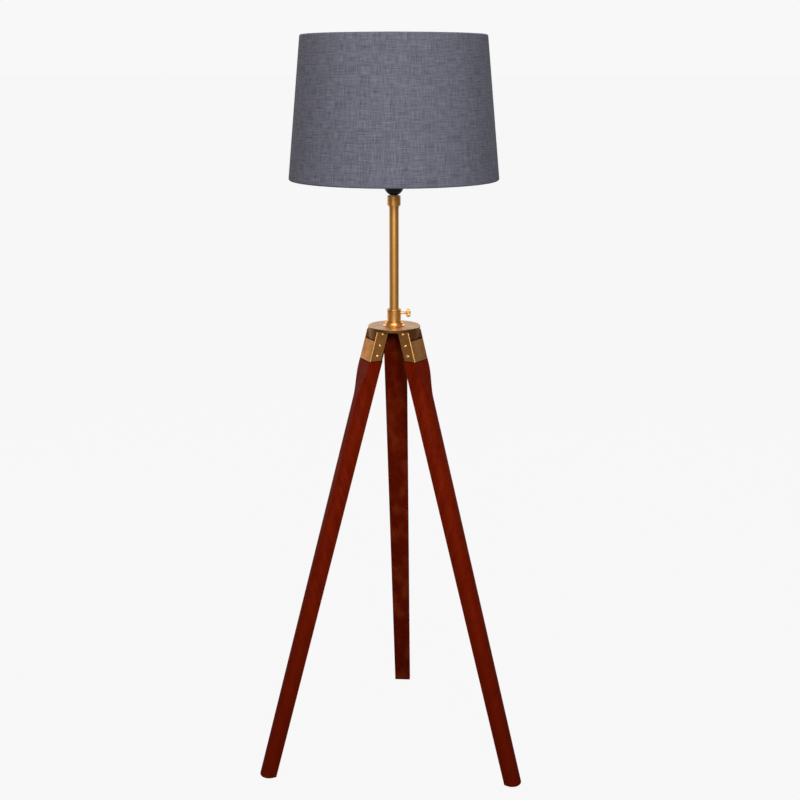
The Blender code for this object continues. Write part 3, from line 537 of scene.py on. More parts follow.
def linen_material():
    """Plain weave with uneven yarns. Warp runs up the shade, weft runs round it."""
    dark, pale = color(0.076, 0.076, 0.1), color(0.23, 0.23, 0.29)
    pitch = 0.82 * MM
    swerve = 5.0  # how far the yarns stray, in radians of the weave
    material, tree, coords = new_material("grey_linen_weave", Specular_IOR_Level=0.2)
    x, y, height = node(tree, "SeparateXYZ", {0: coords}).outputs
    turn = calc(tree, "ARCTAN2", x, times(tree, y, -1.0))
    across = times(tree, turn, (SHADE_BOTTOM_R + SHADE_TOP_R) / 2)
    cloth = node(tree, "CombineXYZ", {0: across, 1: height}).outputs[0]
    drift = node(tree, "Mapping", {"Vector": cloth, "Location": (3.1, 1.7, 0)}).outputs[0]

    def wave(value, vector):
        """Up and down over each yarn that is crossed."""
        phase = plus(tree, times(tree, value, math.pi / pitch),
                     times(tree, noise(tree, vector, 70, 2), swerve))
        return calc(tree, "SINE", phase)

    def uneven(scale, warp, warp_length, weft, weft_length):
        """Thick and thin places along both sets of yarns, about zero."""
        return plus(tree, *[
            between(tree, noise(tree, vector, scale, 1, 0.5, stretch), 0.3, 0.7, -0.5, 0.5)
            for vector, stretch in ((warp, (1, warp_length, 1)), (weft, (weft_length, 1, 1)))])
    over = times(tree, wave(across, cloth), wave(height, drift))
    slubs = uneven(640, cloth, 12, drift, 15)
    lines = uneven(400, drift, 40, cloth, 40)
    tone = plus(tree, times(tree, slubs, 0.24), times(tree, lines, 0.1))
    tone = plus(tree, tone, times(tree, over, 0.1))
    base = mixed(tree, between(tree, tone, -0.27, 0.27), dark, pale)
    rough = between(tree, tone, -0.4, 0.4, 0.96, 0.82)
    raised = plus(tree, times(tree, calc(tree, "ABSOLUTE", over), 0.6), slubs)
    return surfaced(material, base, rough, bump(tree, raised, 0.12 * MM, 0.7))


def coated_material(name, tint, roughness, grain, depth, variation, coat, coat_roughness):
    """Moulded, sprayed or glazed surface: slight changes of tone, and a fine skin."""
    constants = {"Coat_Weight": coat, "Coat_Roughness": coat_roughness} if coat else {}
    material, tree, coords = new_material(name, **constants)
    clouds = noise(tree, coords, 60, 3)
    skin = noise(tree, coords, grain, 2)
    dark = color(*[part * (1 - variation) for part in tint])
    base = mixed(tree, between(tree, clouds, 0.3, 0.7), dark, color(*tint))
    rough = between(tree, plus(tree, clouds, skin), 0.6, 1.4, roughness - 0.06, roughness + 0.06)
    return surfaced(material, base, rough, bump(tree, skin, depth * MM, 0.6))


def make_materials():
    look = {kind: brass_material(*values) for kind, values in BRASSES.items()}
    look["steel"] = steel_material()
    look["linen"] = linen_material()
    look.update({kind: coated_material(*values) for kind, values in COATED.items()})
    return look


# ---- head ----
def head_casting_mesh():
    """The disc, with three lugs left below it where the legs hinge."""
    under = DISC_TOP_Z - DISC_LIP
    block = turned("block", filleted([
        (STEM_HOLE_R, DISC_TOP_Z), (STEM_HOLE_R, LUG_BOTTOM_Z), (DISC_R, LUG_BOTTOM_Z),
        (DISC_R, DISC_TOP_Z, DISC_EDGE_R)], 5), 144)
    below = LUG_BOTTOM_Z - CLEAR
    beyond = DISC_R + CLEAR
    waste = turned("waste", [(MM, under), (MM, below), (beyond, below), (beyond, under)], 64)
    more = CLEAR / 2
    outline = [(PIVOT_R - LUG_ROUND_R, under + more)]
    outline += arc(PIVOT_R, PIVOT_Z, LUG_ROUND_R, 180, 270, 20)
    outline += [(PIVOT_R, below - more), (beyond + more, below - more)]
    outline.append((beyond + more, under + more))
    half = BRACKET_WIDTH / 2 - BRACKET_WALL - RUNNING_GAP
    lug = prism("lug", outline, -half, half, axis="Y")
    waste = cut("waste_cut", waste, [(lug, about_z(angle)) for _, angle in LEGS.values()])
    bore = rod_mesh("bore", PIVOT_BOLT_R + RUNNING_GAP, -beyond, beyond, 32)
    tools = [(waste, Matrix())]
    for _, angle in LEGS.values():
        tools.append((bore, about_z(angle) @ along_y(PIVOT_R, 0, PIVOT_Z)))
    mesh = softened("head", cut("head_cut", block, tools), 0.45 * MM)
    # painted shade: every face of the head but its top is marked to be painted dark
    return marked(mesh, "painted_side_shade", lambda centre, normal: 0.0 if normal.z > 0.5 else SIDE_SHADE)


# From here on, the corners given to lathe() are millimetres: a radius, a height above the piece's
# own floor, and the fillet there.
TUBE_BORE = 9.4


def hub_boss_mesh():
    """A stepped, coved boss. Its stem goes down through the disc, and its floor is the disc."""
    radius, low, high = round_size("hub_boss")
    floor = DISC_TOP_Z + GAP
    foot, top = (low - floor) / MM, (high - floor) / MM
    stem, neck, socket, socket_floor, step = 12, 16.2, 11.9, 2.2, 6.6
    return lathe("hub_boss", [
        (TUBE_BORE, foot), (stem, foot, 0.4), (stem, 0), (radius / MM, 0, 0.2),
        *arc(24, 6.2, 6.1, 246, 207, 8), (18.2, 6, 0.2), (17.6, step, 0.3), (neck, step, 0.2),
        (neck, top, 0.5), (socket, top, 0.2), (socket, socket_floor), (TUBE_BORE, socket_floor)],
        floor)


def collar_mesh():
    """The collar's outer body, with a bead at both ends. It plugs into the boss."""
    radius, height, floor = round_mm("clamp_collar")
    foot = (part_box("hub_boss")[1].z + RUNNING_GAP - floor) / MM
    plug, pocket, pocket_floor, waist = 11.5, 11, foot + 1.2, radius - 0.5
    return lathe("collar", [
        (TUBE_BORE, 0), (plug, 0, 0.2), (plug, foot), (radius, foot, 0.5),
        (radius, foot + 2.2, 0.2), (waist, foot + 2.6, 0.2), (waist, height - 2.2, 0.2),
        (radius, height - 1.8, 0.2), (radius, height, 0.5), (pocket, height, 0.2),
        (pocket, pocket_floor), (TUBE_BORE, pocket_floor)], floor)


def collar_ring_mesh():
    radius, height, floor = round_mm("collar_ring")
    bore = 9.3
    return lathe("collar_ring", [(bore, 0), (radius, 0, 0.4), (radius, height, 0.9),
                                 (bore, height, 0.3)], floor)


def hex_nut_mesh(node_name, hole):
    low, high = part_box(node_name)
    corner = (high.x - low.x) / 2
    blank = prism("nut_blank", arc(0, 0, corner, 0, 300, 5), low.z, high.z)
    bore = rod_mesh("nut_hole", hole, low.z - MM, high.z + MM)
    return softened(node_name, cut("nut", blank, [(bore, Matrix())]), 0.5 * MM)


def thumbscrew_mesh():
    """Drawn along Z from the pole's axis outward, with a knurled knob."""
    low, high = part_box("thumbscrew")
    tip, end = [(x - POLE.translation.x) / MM for x in (low.x, high.x)]
    knob = (high.z - low.z) / 2 / MM
    shank, rim, boss, face, dish = 2.45, knob - 1.4, 3.9, end - 7.5, end - 0.6
    knurl_ridges, knurl_depth = 40, 0.32 * MM

    def knurl(r, z, angle):
        if r < (knob - 0.5) * MM:
            return r
        return r - knurl_depth * abs(math.sin(knurl_ridges / 2 * angle))
    return lathe("thumbscrew", [
        (0, tip), (shank, tip, 0.6), (shank, face - 1.4, 0.3), (3.7, face - 0.8, 0.3),
        (boss, face, 0.4), (rim, face, 0.5), (knob, face + 1.2, 0.4), (knob, face + 2.6),
        (knob, face + 4.6), (knob, end - 1.3, 0.4), (rim, end, 0.6), (4.4, end, 0.5),
        (boss, dish, 0.3), (0, dish)], 0.0, 240, knurl)


def build_head(look):
    for name, mesh, kind, slot, stands_for in (
            ("head_disc", head_casting_mesh(), "cast", "brass", "head_casting"),
            ("stepped_boss", hub_boss_mesh(), "turned", "brass", "hub_boss"),
            ("stem_locknut", hex_nut_mesh("hub_locknut", STEM_HOLE_R), "steel", "steel",
             "hub_locknut"),
            ("collar_body", collar_mesh(), "turned", "brass", "clamp_collar"),
            ("collar_top_ring", collar_ring_mesh(), "turned", "brass", "collar_ring")):
        add_piece(name, mesh, look[kind], "head", [stands_for])
    low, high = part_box("thumbscrew")
    across = Matrix.Translation((0, 0, (low.z + high.z) / 2)) @ rotated(90, "Y")
    add_piece("knurled_thumbscrew", thumbscrew_mesh(), look["bolts"], "thumbscrew",
              ["thumbscrew"], across)


# ---- legs ----
def leg_outer(z):
    return LEG_REACH - LEG_SLOPE * z


def leg_half_width(z):
    return (LEG_FOOT_WIDTH + (LEG_TOP_WIDTH - LEG_FOOT_WIDTH) / BRACKET_BOTTOM_Z * z) / 2


def leg_corner_radius(z):
    share = (ROUNDING_STARTS_Z - z) / (ROUNDING_STARTS_Z - ROUNDING_ENDS_Z)
    share = min(max(share, 0.0), 1.0)
    return BLOCK_EDGE_R + (LEG_CORNER_R - BLOCK_EDGE_R) * smooth(share)


def leg_ring(z, outer, inner, half, radius):
    """One level section: a flat inner face and two rounded outer corners."""
    small = min(INNER_EDGE_R, radius)
    ring = arc(inner + small, -half + small, small, 180, 270, 4)
    ring += arc(outer - radius, -half + radius, radius, -90, 0, 14)
    ring += arc(outer - radius, half - radius, radius, 0, 90, 14)
    ring += arc(inner + small, half - small, small, 90, 180, 4)
    return [(r, y, z) for r, y in ring]


def leg_mesh():
    rings = []
    sole_steps, shaft_steps, change_steps, end_trim = 8, 30, 20, 0.4 * MM
    for degrees in spread(0, 90, sole_steps):
        angle = math.radians(degrees)
        z = SOLE_EDGE_R * (1 - math.cos(angle))
        outer = leg_outer(z)
        inset = SOLE_EDGE_R * (1 - math.sin(angle))
        rings.append(leg_ring(z, outer - inset, outer - LEG_DEPTH, leg_half_width(z), LEG_CORNER_R))
    block_top = BRACKET_BOTTOM_Z - GAP
    levels = spread(SOLE_EDGE_R, ROUNDING_ENDS_Z, shaft_steps)[1:-1]
    levels += spread(ROUNDING_ENDS_Z, ROUNDING_STARTS_Z, change_steps)
    for z in levels + [block_top - JOINT_LINE, block_top - 0.6 * MM, block_top]:
        outer = leg_outer(z)
        trim = end_trim if z == block_top else 0.0
        rings.append(leg_ring(z, outer - trim, outer - LEG_DEPTH + trim, leg_half_width(z) - trim,
                              leg_corner_radius(z)))
    tenon_half = BRACKET_WIDTH / 2 - BRACKET_WALL - GAP
    for z in (block_top, LUG_BOTTOM_Z - RUNNING_GAP):
        tenon_outer = leg_outer(z) - BRACKET_WALL - GAP
        tenon_inner = leg_outer(z) - LEG_DEPTH + GAP
        rings.append(leg_ring(z, tenon_outer, tenon_inner, tenon_half, BLOCK_EDGE_R))
    mesh = lofted("leg", rings, 30)

    def inner_edge(centre, normal):
        inward = abs(centre.x - leg_outer(centre.z) + LEG_DEPTH)
        return float(inward < INNER_EDGE_R * 0.9 and centre.z > SOLE_EDGE_R)

    def joint_line_and_shade(centre, normal):
        """A dark line on the outer face and the sides just below where the wood meets the bracket,
        and painted shade on the tenon under the disc: dark on its top, outer face and sides, a
        little on its inner face.
        """
        if centre.z < block_top - JOINT_LINE:
            return 0.0
        if normal.x < -0.7:
            return 0.12 if centre.z > block_top else 0.0
        return 0.85
    marked(mesh, "joint_line_and_shade", joint_line_and_shade)
    return marked(mesh, "wear_and_highlight", inner_edge)


def bracket_ring(z):
    """Level section of the bracket: a U round the outer face and both sides of the leg."""
    outer, half, bend = leg_outer(z), BRACKET_WIDTH / 2, BRACKET_BEND_R
    rear, centre, inside = outer - CHEEK_WIDTH, outer - bend, bend - BRACKET_WALL
    ring = [(rear, -half)]
    ring += arc(centre, -half + bend, bend, -90, 0, 10)
    ring += arc(centre, half - bend, bend, 0, 90, 10)
    ring += [(rear, half), (rear, half - BRACKET_WALL)]
    ring += arc(centre, half - bend, inside, 90, 0, 5)
    ring += arc(centre, -half + bend, inside, 0, -90, 5)
    ring.append((rear, -half + BRACKET_WALL))
    return [(r, y, z) for r, y in ring]


def bracket_mesh():
    """The U, with its panel cut away above, its ears' tops squared, and its holes."""
    half = BRACKET_WIDTH / 2
    inside_half = half - BRACKET_WALL
    reach = 4 * CLEAR
    ends = (BRACKET_BOTTOM_Z, BRACKET_EAR_TOP_Z)
    blank = lofted("bracket_blank", [bracket_ring(z) for z in ends])
    window = box_mesh("window", (PIVOT_R, -inside_half, BRACKET_PANEL_TOP_Z),
                      (PIVOT_R + reach, inside_half, PIVOT_Z + reach))
    shoulder = box_mesh("shoulder", (-reach, -reach, BRACKET_EAR_TOP_Z - PIVOT_Z),
                        (reach, reach, reach))
    tilt = Matrix.Translation((PIVOT_R, 0, PIVOT_Z)) @ Matrix.Rotation(-SPLAY, 4, "Y")
    bolt_hole = rod_mesh("bolt_hole", PIVOT_BOLT_R + GAP, -reach, reach, 32)
    screw_hole = rod_mesh("screw_hole", CHEEK_SCREW_R + GAP, -reach, reach, 32)
    tools = [(window, Matrix()), (shoulder, tilt), (bolt_hole, along_y(PIVOT_R, 0, PIVOT_Z))]
    tools += [(screw_hole, along_y(leg_outer(z) - LEG_DEPTH / 2, 0, z)) for z in CHEEK_SCREW_Z]
    mesh = softened("bracket", cut("bracket_cut", blank, tools), 0.3 * MM)
    # painted highlight as well as rubbing: the outer faces of the bends are marked to be painted
    # bright
    worn_and_highlit = mesh.attributes["wear_and_highlight"]
    for face in mesh.polygons:
        bend = leg_outer(face.center.z) - BRACKET_BEND_R < face.center.x
        if bend and abs(face.center.y) > half - BRACKET_BEND_R and abs(face.normal.z) < 0.5:
            worn_and_highlit.data[face.index].value = 1.0
    return mesh


def headed_pin(radius, height, shank, length, slot_width, slots):
    """A domed head above z = 0 on a shank, with one slot or two crossing ones."""
    rise = height * 0.8
    sphere = (radius ** 2 + rise ** 2) / (2 * rise)
    edge = math.degrees(math.asin(radius / sphere))
    corners = [(0, -length), (shank, -length, 0.5 * MM), (shank, 0), (radius, 0, 0.2 * MM)]
    corners += arc(0, height - sphere, sphere, 90 - edge, 90, 8)[:-1]
    blank = turned("pin_blank", filleted(corners) + [(0, height, None)], 48)
    depth = height * 0.45
    reach = radius * (1.5 if slots == 1 else 0.55)
    half = slot_width / 2
    cutter = box_mesh("slot", (-reach, -half, height - depth), (reach, half, height + MM))
    cutters = [(cutter, about_z(90 * k)) for k in range(slots)]
    return softened("pin", cut("pin_cut", blank, cutters), 0.08 * MM, 1, 35)


def build_leg(look, meshes, number):
    side_name, angle = LEGS[number]
    offset = (0.7 * number, 1.3 * number, 0.9 * number)
    rear_shade = REAR_LEG_SHADE if side_name == "rear" else 0.0
    wood = wood_material(f"varnished_wood_{side_name}", angle, offset, rear_shade)

    def add(what, mesh, material, stands_for, place=Matrix()):
        add_piece(f"{side_name}_leg_{what}", mesh, material, f"{side_name}_leg",
                  [stands_for], about_z(angle) @ place)

    def beside(x, z, side, twist):
        """A place on a side of the bracket, with Z pointing out of it."""
        seat = side * (BRACKET_WIDTH / 2 + GAP)
        return Matrix.Translation((x, seat, z)) @ rotated(-90 * side, "X") @ about_z(twist)
    add("wood", meshes["leg"], wood, f"leg_{number}")
    add("bracket", meshes["bracket"], look["sheet"], f"bracket_{number}")
    for kind, side in (("bolt", 1), ("nut", -1)):
        add(f"pivot_{kind}", meshes[kind], look["bolts"], f"pivot_{kind}_{number}",
            beside(PIVOT_R, PIVOT_Z, side, 35 + 40 * side * number))
    for z, level, more in zip(CHEEK_SCREW_Z, ("lower", "upper"), (0, 50)):
        for side, hand in ((1, "left"), (-1, "right")):
            add(f"screw_{level}_{hand}", meshes["screw"], look["bolts"],
                f"screw_{number}_{level}_{hand}",
                beside(leg_outer(z) - LEG_DEPTH / 2, z, side, 17 * number + 31 * side + more))


def build_legs(look):
    low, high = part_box("pivot_bolt_1")  # it lies along X
    radius, height = (high.z - low.z) / 2, PIVOT_HEAD_HEIGHT
    length = BRACKET_WIDTH + height * 0.5
    meshes = {"bolt": headed_pin(radius, height, PIVOT_BOLT_R, length, MM, 1),
              "nut": headed_pin(radius, height, 1.2 * MM, 0.4 * MM, MM, 1),
              "screw": headed_pin(*CHEEK_SCREW_HEAD, CHEEK_SCREW_R, 12.7 * MM, 0.9 * MM, 2),
              "bracket": bracket_mesh(), "leg": leg_mesh()}
    for number in LEGS:
        build_leg(look, meshes, number)


# ---- pole and lampholder ----
NIPPLE_HOLE = 5.3


def tube_mesh():
    radius, low, high = round_size("tube")
    levels = spread(low, high, 12)
    outline = [(radius, z) for z in levels] + [(radius - MM, z) for z in reversed(levels)]
    return turned("tube", outline, 128)


def top_cap_mesh():
    radius, height, floor = round_mm("top_cap")
    neck = rim_radius("top_cap", floor) / MM
    bore, shoulder, groove, ceiling = 9.3, 3.5, radius - 0.35, height - 7.6
    return lathe("top_cap", [
        (bore, 0), (neck, 0, 0.4), (neck, shoulder, 0.3), (radius, shoulder, 0.7),
        (radius, height - 4.6, 0.15), (groove, height - 4.4, 0.1), (groove, height - 3.9, 0.1),
        (radius, height - 3.7, 0.15), (radius, height, 1.1), (NIPPLE_HOLE, height),
        (NIPPLE_HOLE, ceiling), (bore, ceiling)], floor)


def lampholder_cap_mesh():
    """The lampholder's domed lower half, with a parting bead."""
    radius, height, floor = round_mm("lampholder_cap")
    drop, semi, inside, bead = 20, 22, radius - 2, height - 2.4
    dome = [(radius * math.sqrt(1 - ((drop - z) / semi) ** 2), z) for z in spread(0, drop, 14)]
    return lathe("lampholder_cap", [
        (NIPPLE_HOLE, 0), *dome, (radius, bead - 0.6), (radius - 0.5, bead), (radius, bead + 0.6),
        (radius, height - 0.3), (radius - 0.3, height), (inside, height), (inside, drop), (12, 8),
        (NIPPLE_HOLE, 2.4)], floor)


def thread(pitch, depth, low, high, near):
    """The shape of a screw thread on the surface near a radius, fading out at both ends."""
    def shape(r, z, angle):
        if abs(r - near) > 0.05 * MM or not low < z < high:
            return r
        phase = (z / pitch - angle / FULL_TURN) % 1.0
        fade = min((z - low) / pitch, (high - z) / pitch, 1.0)
        return r - depth * fade * (0.5 + 0.5 * math.cos(FULL_TURN * phase))
    return shape


def lampholder_skirt_mesh():
    """Upper half: a flange that the shade's carrier rests on, and a thread for its ring."""
    radius, height, floor = round_mm("lampholder_skirt")
    outer, inside, barrel, flange = 18.8, 16.8, 19.5, 10.7
    start = flange + 2.5
    return lathe("lampholder_skirt", [
        (inside, 0), (barrel, 0), (barrel, flange - 0.8), (20.2, flange), (radius - 0.3, flange),
        (radius, flange + 0.3), (radius, flange + 2.2), (radius - 0.3, start),
        *[(outer, z) for z in spread(start, height - 0.8, 44)], (outer - 0.8, height),
        (inside, height)], floor, 96,
        thread(2.6 * MM, 0.45 * MM, floor + (start + 0.4) * MM, floor + (height - 1) * MM,
               outer * MM))


def shade_ring_mesh():
    """Ring nut over the carrier, with ribs round its rim."""
    radius, height, floor = round_mm("shade_ring")
    bore, neck, rib_count, rib_depth = 19.1, 22, 20, 0.7 * MM

    def ribs(r, z, angle):
        if r < (radius - 1.3) * MM:
            return r
        return r - rib_depth * max(0.0, math.cos(rib_count * angle)) ** 2
    return lathe("shade_ring", [
        (bore, 0), (radius - 1, 0, 0.3), (radius, 1, 0.3), (radius, 4, 0.5), (neck, 5, 0.5),
        (neck, height, 0.5), (bore, height, 0.2)], floor, 240, ribs, 3)


def bulb_cap_mesh():
    """Thin screw cap of the bulb, with its rolled thread."""
    radius, height, floor = round_mm("bulb_cap")
    crest, tip, inside, start, end = radius - 0.05, 4.6, radius - 2.1, 3, height - 3
    return lathe("bulb_cap", [
        (tip, 0), (9.6, 0), (radius - 1.2, start), *[(crest, z) for z in spread(start, end, 48)],
        (radius - 0.6, height - 2), (radius - 0.6, height), (inside, height), (inside, start),
        (8, 0.8), (tip, 0.8)], floor, 96,
        thread(3.6 * MM, 0.95 * MM, floor + start * MM, floor + end * MM, crest * MM))


def bulb_glass_mesh():
    """A thin-walled globe, drawn up its outside and down its inside, on a neck that swells."""
    radius, low, high = round_size("bulb_glass")
    wall, neck, centre, shoulder_angle = 0.8 * MM, 12 * MM, high - radius, -48
    shoulder = Vector(arc(0, centre, radius, shoulder_angle, 90, 1)[0])
    outline = []
    for inset, way in ((0.0, 1), (wall, -1)):
        path = [(neck - inset, low), (neck + 0.2 * MM - inset, low + 5 * MM)]
        start = Vector(path[1])
        bend = Vector((neck + 1.2 * MM - inset, low + 18 * MM))
        end = shoulder + Vector((-inset * 0.7, inset * 0.7))
        path += [tuple(curve_point(start, bend, end, k / 8)) for k in range(1, 8)]
        path += arc(0, centre, radius - inset, shoulder_angle, 90, 32)
        path[-1] = (0, centre + radius - inset)
        outline += path[::way]
    return turned("bulb_glass", outline, 96, sharp_angle=60)


def build_pole(look):
    for name, mesh, kind, slot, stands_for in (
            ("pole_tube", tube_mesh(), "tube", "brass", "tube"),
            ("pole_end_cap", top_cap_mesh(), "turned", "brass", "top_cap"),
            ("lampholder_dome", lampholder_cap_mesh(), "black", "black_plastic",
             "lampholder_cap"),
            ("lampholder_barrel", lampholder_skirt_mesh(), "black", "black_plastic",
             "lampholder_skirt"),
            ("ribbed_shade_ring", shade_ring_mesh(), "black", "black_plastic", "shade_ring"),
            ("bulb_screw_cap", bulb_cap_mesh(), "steel", "steel", "bulb_cap"),
            ("opal_bulb", bulb_glass_mesh(), "glass", "glass", "bulb_glass")):
        add_piece(name, mesh, look[kind], "pole", [stands_for])


# ---- shade ----
def shade_radius(z):
    share = (z - SHADE_BOTTOM_Z) / (SHADE_TOP_Z - SHADE_BOTTOM_Z)
    return SHADE_BOTTOM_R + (SHADE_TOP_R - SHADE_BOTTOM_R) * share


def fabric_profile():
    """The cloth's path in (distance in from the shade's outer line, z), from tuck to tuck."""
    low, high = SHADE_BOTTOM_Z + ROLL_R, SHADE_TOP_Z - ROLL_R
    path = [(2 * ROLL_R, low + TUCK), (2 * ROLL_R, low)]
    path += arc(ROLL_R, low, ROLL_R, 0, -180, 10)[1:]
    path += [(0.0, z) for z in spread(low, high, 24)[1:-1]]
    path += arc(ROLL_R, high, ROLL_R, 180, 0, 10)
    path.append((2 * ROLL_R, high - TUCK))
    return path


def fabric_mesh():
    """One strip of cloth rolled round both wire rings. Its ends overlap at the rear seam."""
    path = fabric_profile()
    skin = []
    for number, (depth, z) in enumerate(path):
        before = Vector(path[max(number - 1, 0)])
        after = Vector(path[min(number + 1, len(path) - 1)])
        along = (after - before).normalized()
        skin.append((depth + along.y * FABRIC_WALL, z - along.x * FABRIC_WALL))
    loop = path + skin[::-1]
    overlap = SEAM_OVERLAP / SHADE_BOTTOM_R
    step_out = SEAM_STEP / SHADE_BOTTOM_R
    angles = spread(0, FULL_TURN, SHADE_COLUMNS)[:-1]
    lifts = [0.0] * len(angles)
    angles += [FULL_TURN - step_out, FULL_TURN - step_out * 0.3, FULL_TURN,
               FULL_TURN + overlap / 2, FULL_TURN + overlap]
    lifts += [0.35, 0.85, 1.0, 1.0, 1.0]
    bm = bmesh.new()
    columns = []
    for angle, lift in zip(angles, lifts):
        turn = angle + math.pi / 2
        column = []
        for depth, z in loop:
            outward = 1.0 - depth / ROLL_R if depth < 2 * ROLL_R else -1.0
            r = shade_radius(z) - depth + lift * (FABRIC_WALL + SEAM_GAP) * outward
            lift_z = 0.0
            if abs(outward) < 0.999:
                side = 1 if z > (SHADE_BOTTOM_Z + SHADE_TOP_Z) / 2 else -1
                lift_z = side * lift * SEAM_ROLL_LIFT * (1 - abs(outward))
            column.append(bm.verts.new((r * math.cos(turn), r * math.sin(turn), z + lift_z)))
        columns.append(column)
    bridged(bm, columns)
    return finish_mesh("shade_fabric", bm, 50)


def lining_mesh():
    low, high = SHADE_BOTTOM_Z + LINING_MARGIN, SHADE_TOP_Z - LINING_MARGIN
    depth = FABRIC_WALL + 0.5 * MM
    levels = spread(low, high, 12)
    outline = [(shade_radius(z) - depth, z) for z in levels]
    outline += [(shade_radius(z) - depth - LINING_WALL, z) for z in reversed(levels)]
    return turned("shade_lining", outline, 192)


def spider_mesh():
    """Carrier plate with three bent wire arms that go down and out to the lower ring."""
    plate_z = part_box("shade_spider")[1].z
    wire_low, wire_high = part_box("shade_bottom_wire")
    hole, rim, thick = 19.7, 29, 2.2
    carrier = lathe("carrier", [(hole, -thick, 0.3), (rim, -thick, 0.5), (rim, 0, 0.5),
                                (hole, 0, 0.3)], plate_z)
    bm = bmesh.new()
    bm.from_mesh(carrier)
    start = Vector((24 * MM, 0, plate_z - 3.2 * MM))
    end = Vector(((wire_high.x - wire_low.x) / 2 - 3.9 * MM, 0,
                  (wire_low.z + wire_high.z) / 2 + 0.4 * MM))
    path = [Vector((start.x + (end.x - start.x) * share, 0,
                    start.z + (end.z - start.z) * smooth(share))) for share in spread(0, 1, 24)]
    for k in range(3):
        swept(bm, [about_z(120 * k + 30) @ point for point in path], 1.6 * MM)
    return finish_mesh("shade_spider", bm)


def sector_size(trim):
    """Width, height and area of the flat cut that rolls up into the shade's cone."""
    height = SHADE_TOP_Z - SHADE_BOTTOM_Z
    slant = math.hypot(height, SHADE_BOTTOM_R - SHADE_TOP_R)
    outer = slant * SHADE_BOTTOM_R / (SHADE_BOTTOM_R - SHADE_TOP_R)
    angle = FULL_TURN * SHADE_BOTTOM_R / outer + SEAM_OVERLAP / outer
    inner = outer - slant - trim
    outer += trim
    width = 2 * outer * math.sin(angle / 2)
    depth = outer - inner * math.cos(angle / 2)
    return width, depth, angle * (outer ** 2 - inner ** 2) / 2


def build_shade(look):
    turn_in = (math.pi - 1) * ROLL_R + TUCK  # the cloth beyond the rim's edge
    for name, mesh, kind, stands_for, trim in (
            ("linen_drum_shade", fabric_mesh(), "linen", "shade_fabric", turn_in),
            ("shade_lining_film", lining_mesh(), "lining", "shade_lining", 0.0)):
        piece = add_piece(name, mesh, look[kind], "pole", [stands_for])
        width, depth, area = sector_size(trim)
    add_piece("shade_carrier", spider_mesh(), look["wire"], "pole", ["shade_spider"])


def dress_hidden_nodes(look):
    """CAD nodes that stay, inside the lamp, and the look that each one gets."""
    looks = {"clamp_sleeve": "turned", "cable_bush": "black", "nipple": "steel",
             "nipple_locknut": "steel", "lampholder_insert": "ceramic", "centre_contact": "turned",
             "bulb_contact": "black", "shade_bottom_wire": "wire", "shade_top_wire": "wire"}
    for name, kind in looks.items():
        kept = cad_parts[name]
        for place in kept.material_slots:
            place.material = look[kind]


# ---- studio ----
CAMERA_DISTANCE = 2.348
CAMERA_SIDE = 11.5 * MM
CAMERA_HEIGHT = 1.392
CAMERA_PITCH = 15.03
CAMERA_TURN = 3.6
CAMERA_LENS = 54.86
BACKDROP = 0.939  # what the camera sees past the object
FLOOR_SIZE = 900
FLOOR_GLOW = 0.927
FLOOR_WHITE = 0.012
AIM_Z = 0.95
LAMPS = {
    # place, size, power in watts and colour
    "key_right": ((0.61, -3.0, 2.0), (0.5, 0.5), 50, (1, 1, 1)),
    "key_left": ((-0.66, -2.98, 1.9), (1.0, 1.4), 24, (1, 1, 1)),
    "overhead": ((0.0, -0.2, 3.4), (2.4, 2.4), 25, (1, 1, 1)),
    "rear_left": ((-1.9, 2.6, 2.1), (1.2, 1.2), 18, (1, 1, 1)),
    "rear_right": ((1.9, 2.6, 2.1), (1.2, 1.2), 18, (1, 1, 1)),
    "left_reflector": ((-1.94, 0.98, 1.0), (1.6, 1.6), 6, (1.0, 0.86, 0.72)),
}


def build_camera():
    data = bpy.data.cameras.new("camera")
    data.lens = CAMERA_LENS
    data.sensor_width = 36
    camera = new_object("camera", data)
    place = Matrix.Translation((CAMERA_SIDE, -CAMERA_DISTANCE, CAMERA_HEIGHT))
    camera.matrix_world = POLE @ about_z(CAMERA_TURN) @ place @ rotated(90 - CAMERA_PITCH, "X")
    bpy.context.scene.camera = camera


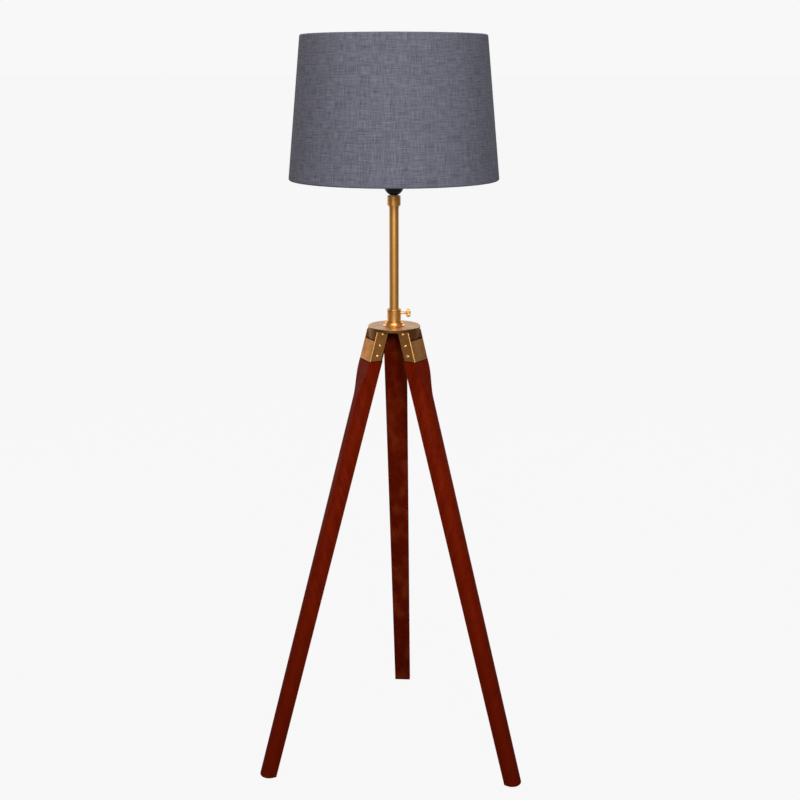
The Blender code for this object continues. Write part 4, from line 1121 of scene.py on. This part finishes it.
def area_light(name, place, size, power, tint):
    data = bpy.data.lights.new(name, "AREA")
    data.shape = "RECTANGLE"
    data.size, data.size_y = size
    data.energy = power
    data.color = tint
    light = new_object(name, data)
    light.location = place
    sight = Vector((0, POLE.translation.y, AIM_Z)) - Vector(place)
    light.rotation_euler = sight.to_track_quat("-Z", "Y").to_euler()


def build_floor():
    """A wide pale floor that glows, to be as plain as the backdrop behind it."""
    rim = arc(0, 0, FLOOR_SIZE, 0, 354, 59)
    floor = new_object("studio_floor", prism("studio_floor", rim, -0.1, 0))
    material = new_material(
        "pale_floor", Base_Color=color(FLOOR_WHITE, FLOOR_WHITE, FLOOR_WHITE), Roughness=0.9,
        Specular_IOR_Level=0.0, Emission_Color=color(1, 1, 1), Emission_Strength=FLOOR_GLOW)[0]
    floor.data.materials.append(material)
    floor.visible_diffuse = False
    floor.visible_glossy = False
    floor.visible_shadow = False


def build_world():
    """Plain backdrop for the camera, soft room light, and a room for the brass to mirror."""
    world = bpy.data.worlds.new("studio")
    world.use_nodes = True
    tree = world.node_tree
    tree.nodes.clear()
    direction = node(tree, "TexCoord").outputs["Generated"]
    y, z = node(tree, "SeparateXYZ", {0: direction}).outputs[1:3]
    path = node(tree, "LightPath").outputs
    mirrored = plus(tree, between(tree, y, 0.5, 0.97, 0.0, 0.52),
                    between(tree, z, -0.8, 0.6, 0.16, 0.29))
    soft = between(tree, z, -0.6, 0.9, 0.05, 0.12)
    level = node(tree, "Mix", {0: path["Is Diffuse Ray"], 2: mirrored, 3: soft}).outputs[0]
    level = node(tree, "Mix", {0: path["Is Camera Ray"], 2: level, 3: BACKDROP}).outputs[0]
    light = node(tree, "Background", {"Color": color(1, 1, 1), "Strength": level}).outputs[0]
    node(tree, "OutputWorld", {"Surface": light})
    bpy.context.scene.world = world


def build_studio():
    for name, values in LAMPS.items():
        area_light(name, *values)
    build_floor()
    build_world()
    bpy.context.scene.view_settings.view_transform = "Standard"


def main():
    build_camera()
    look = make_materials()
    build_head(look)
    build_legs(look)
    build_pole(look)
    build_shade(look)
    dress_hidden_nodes(look)
    build_studio()


main()
bpy.context.view_layer.update()
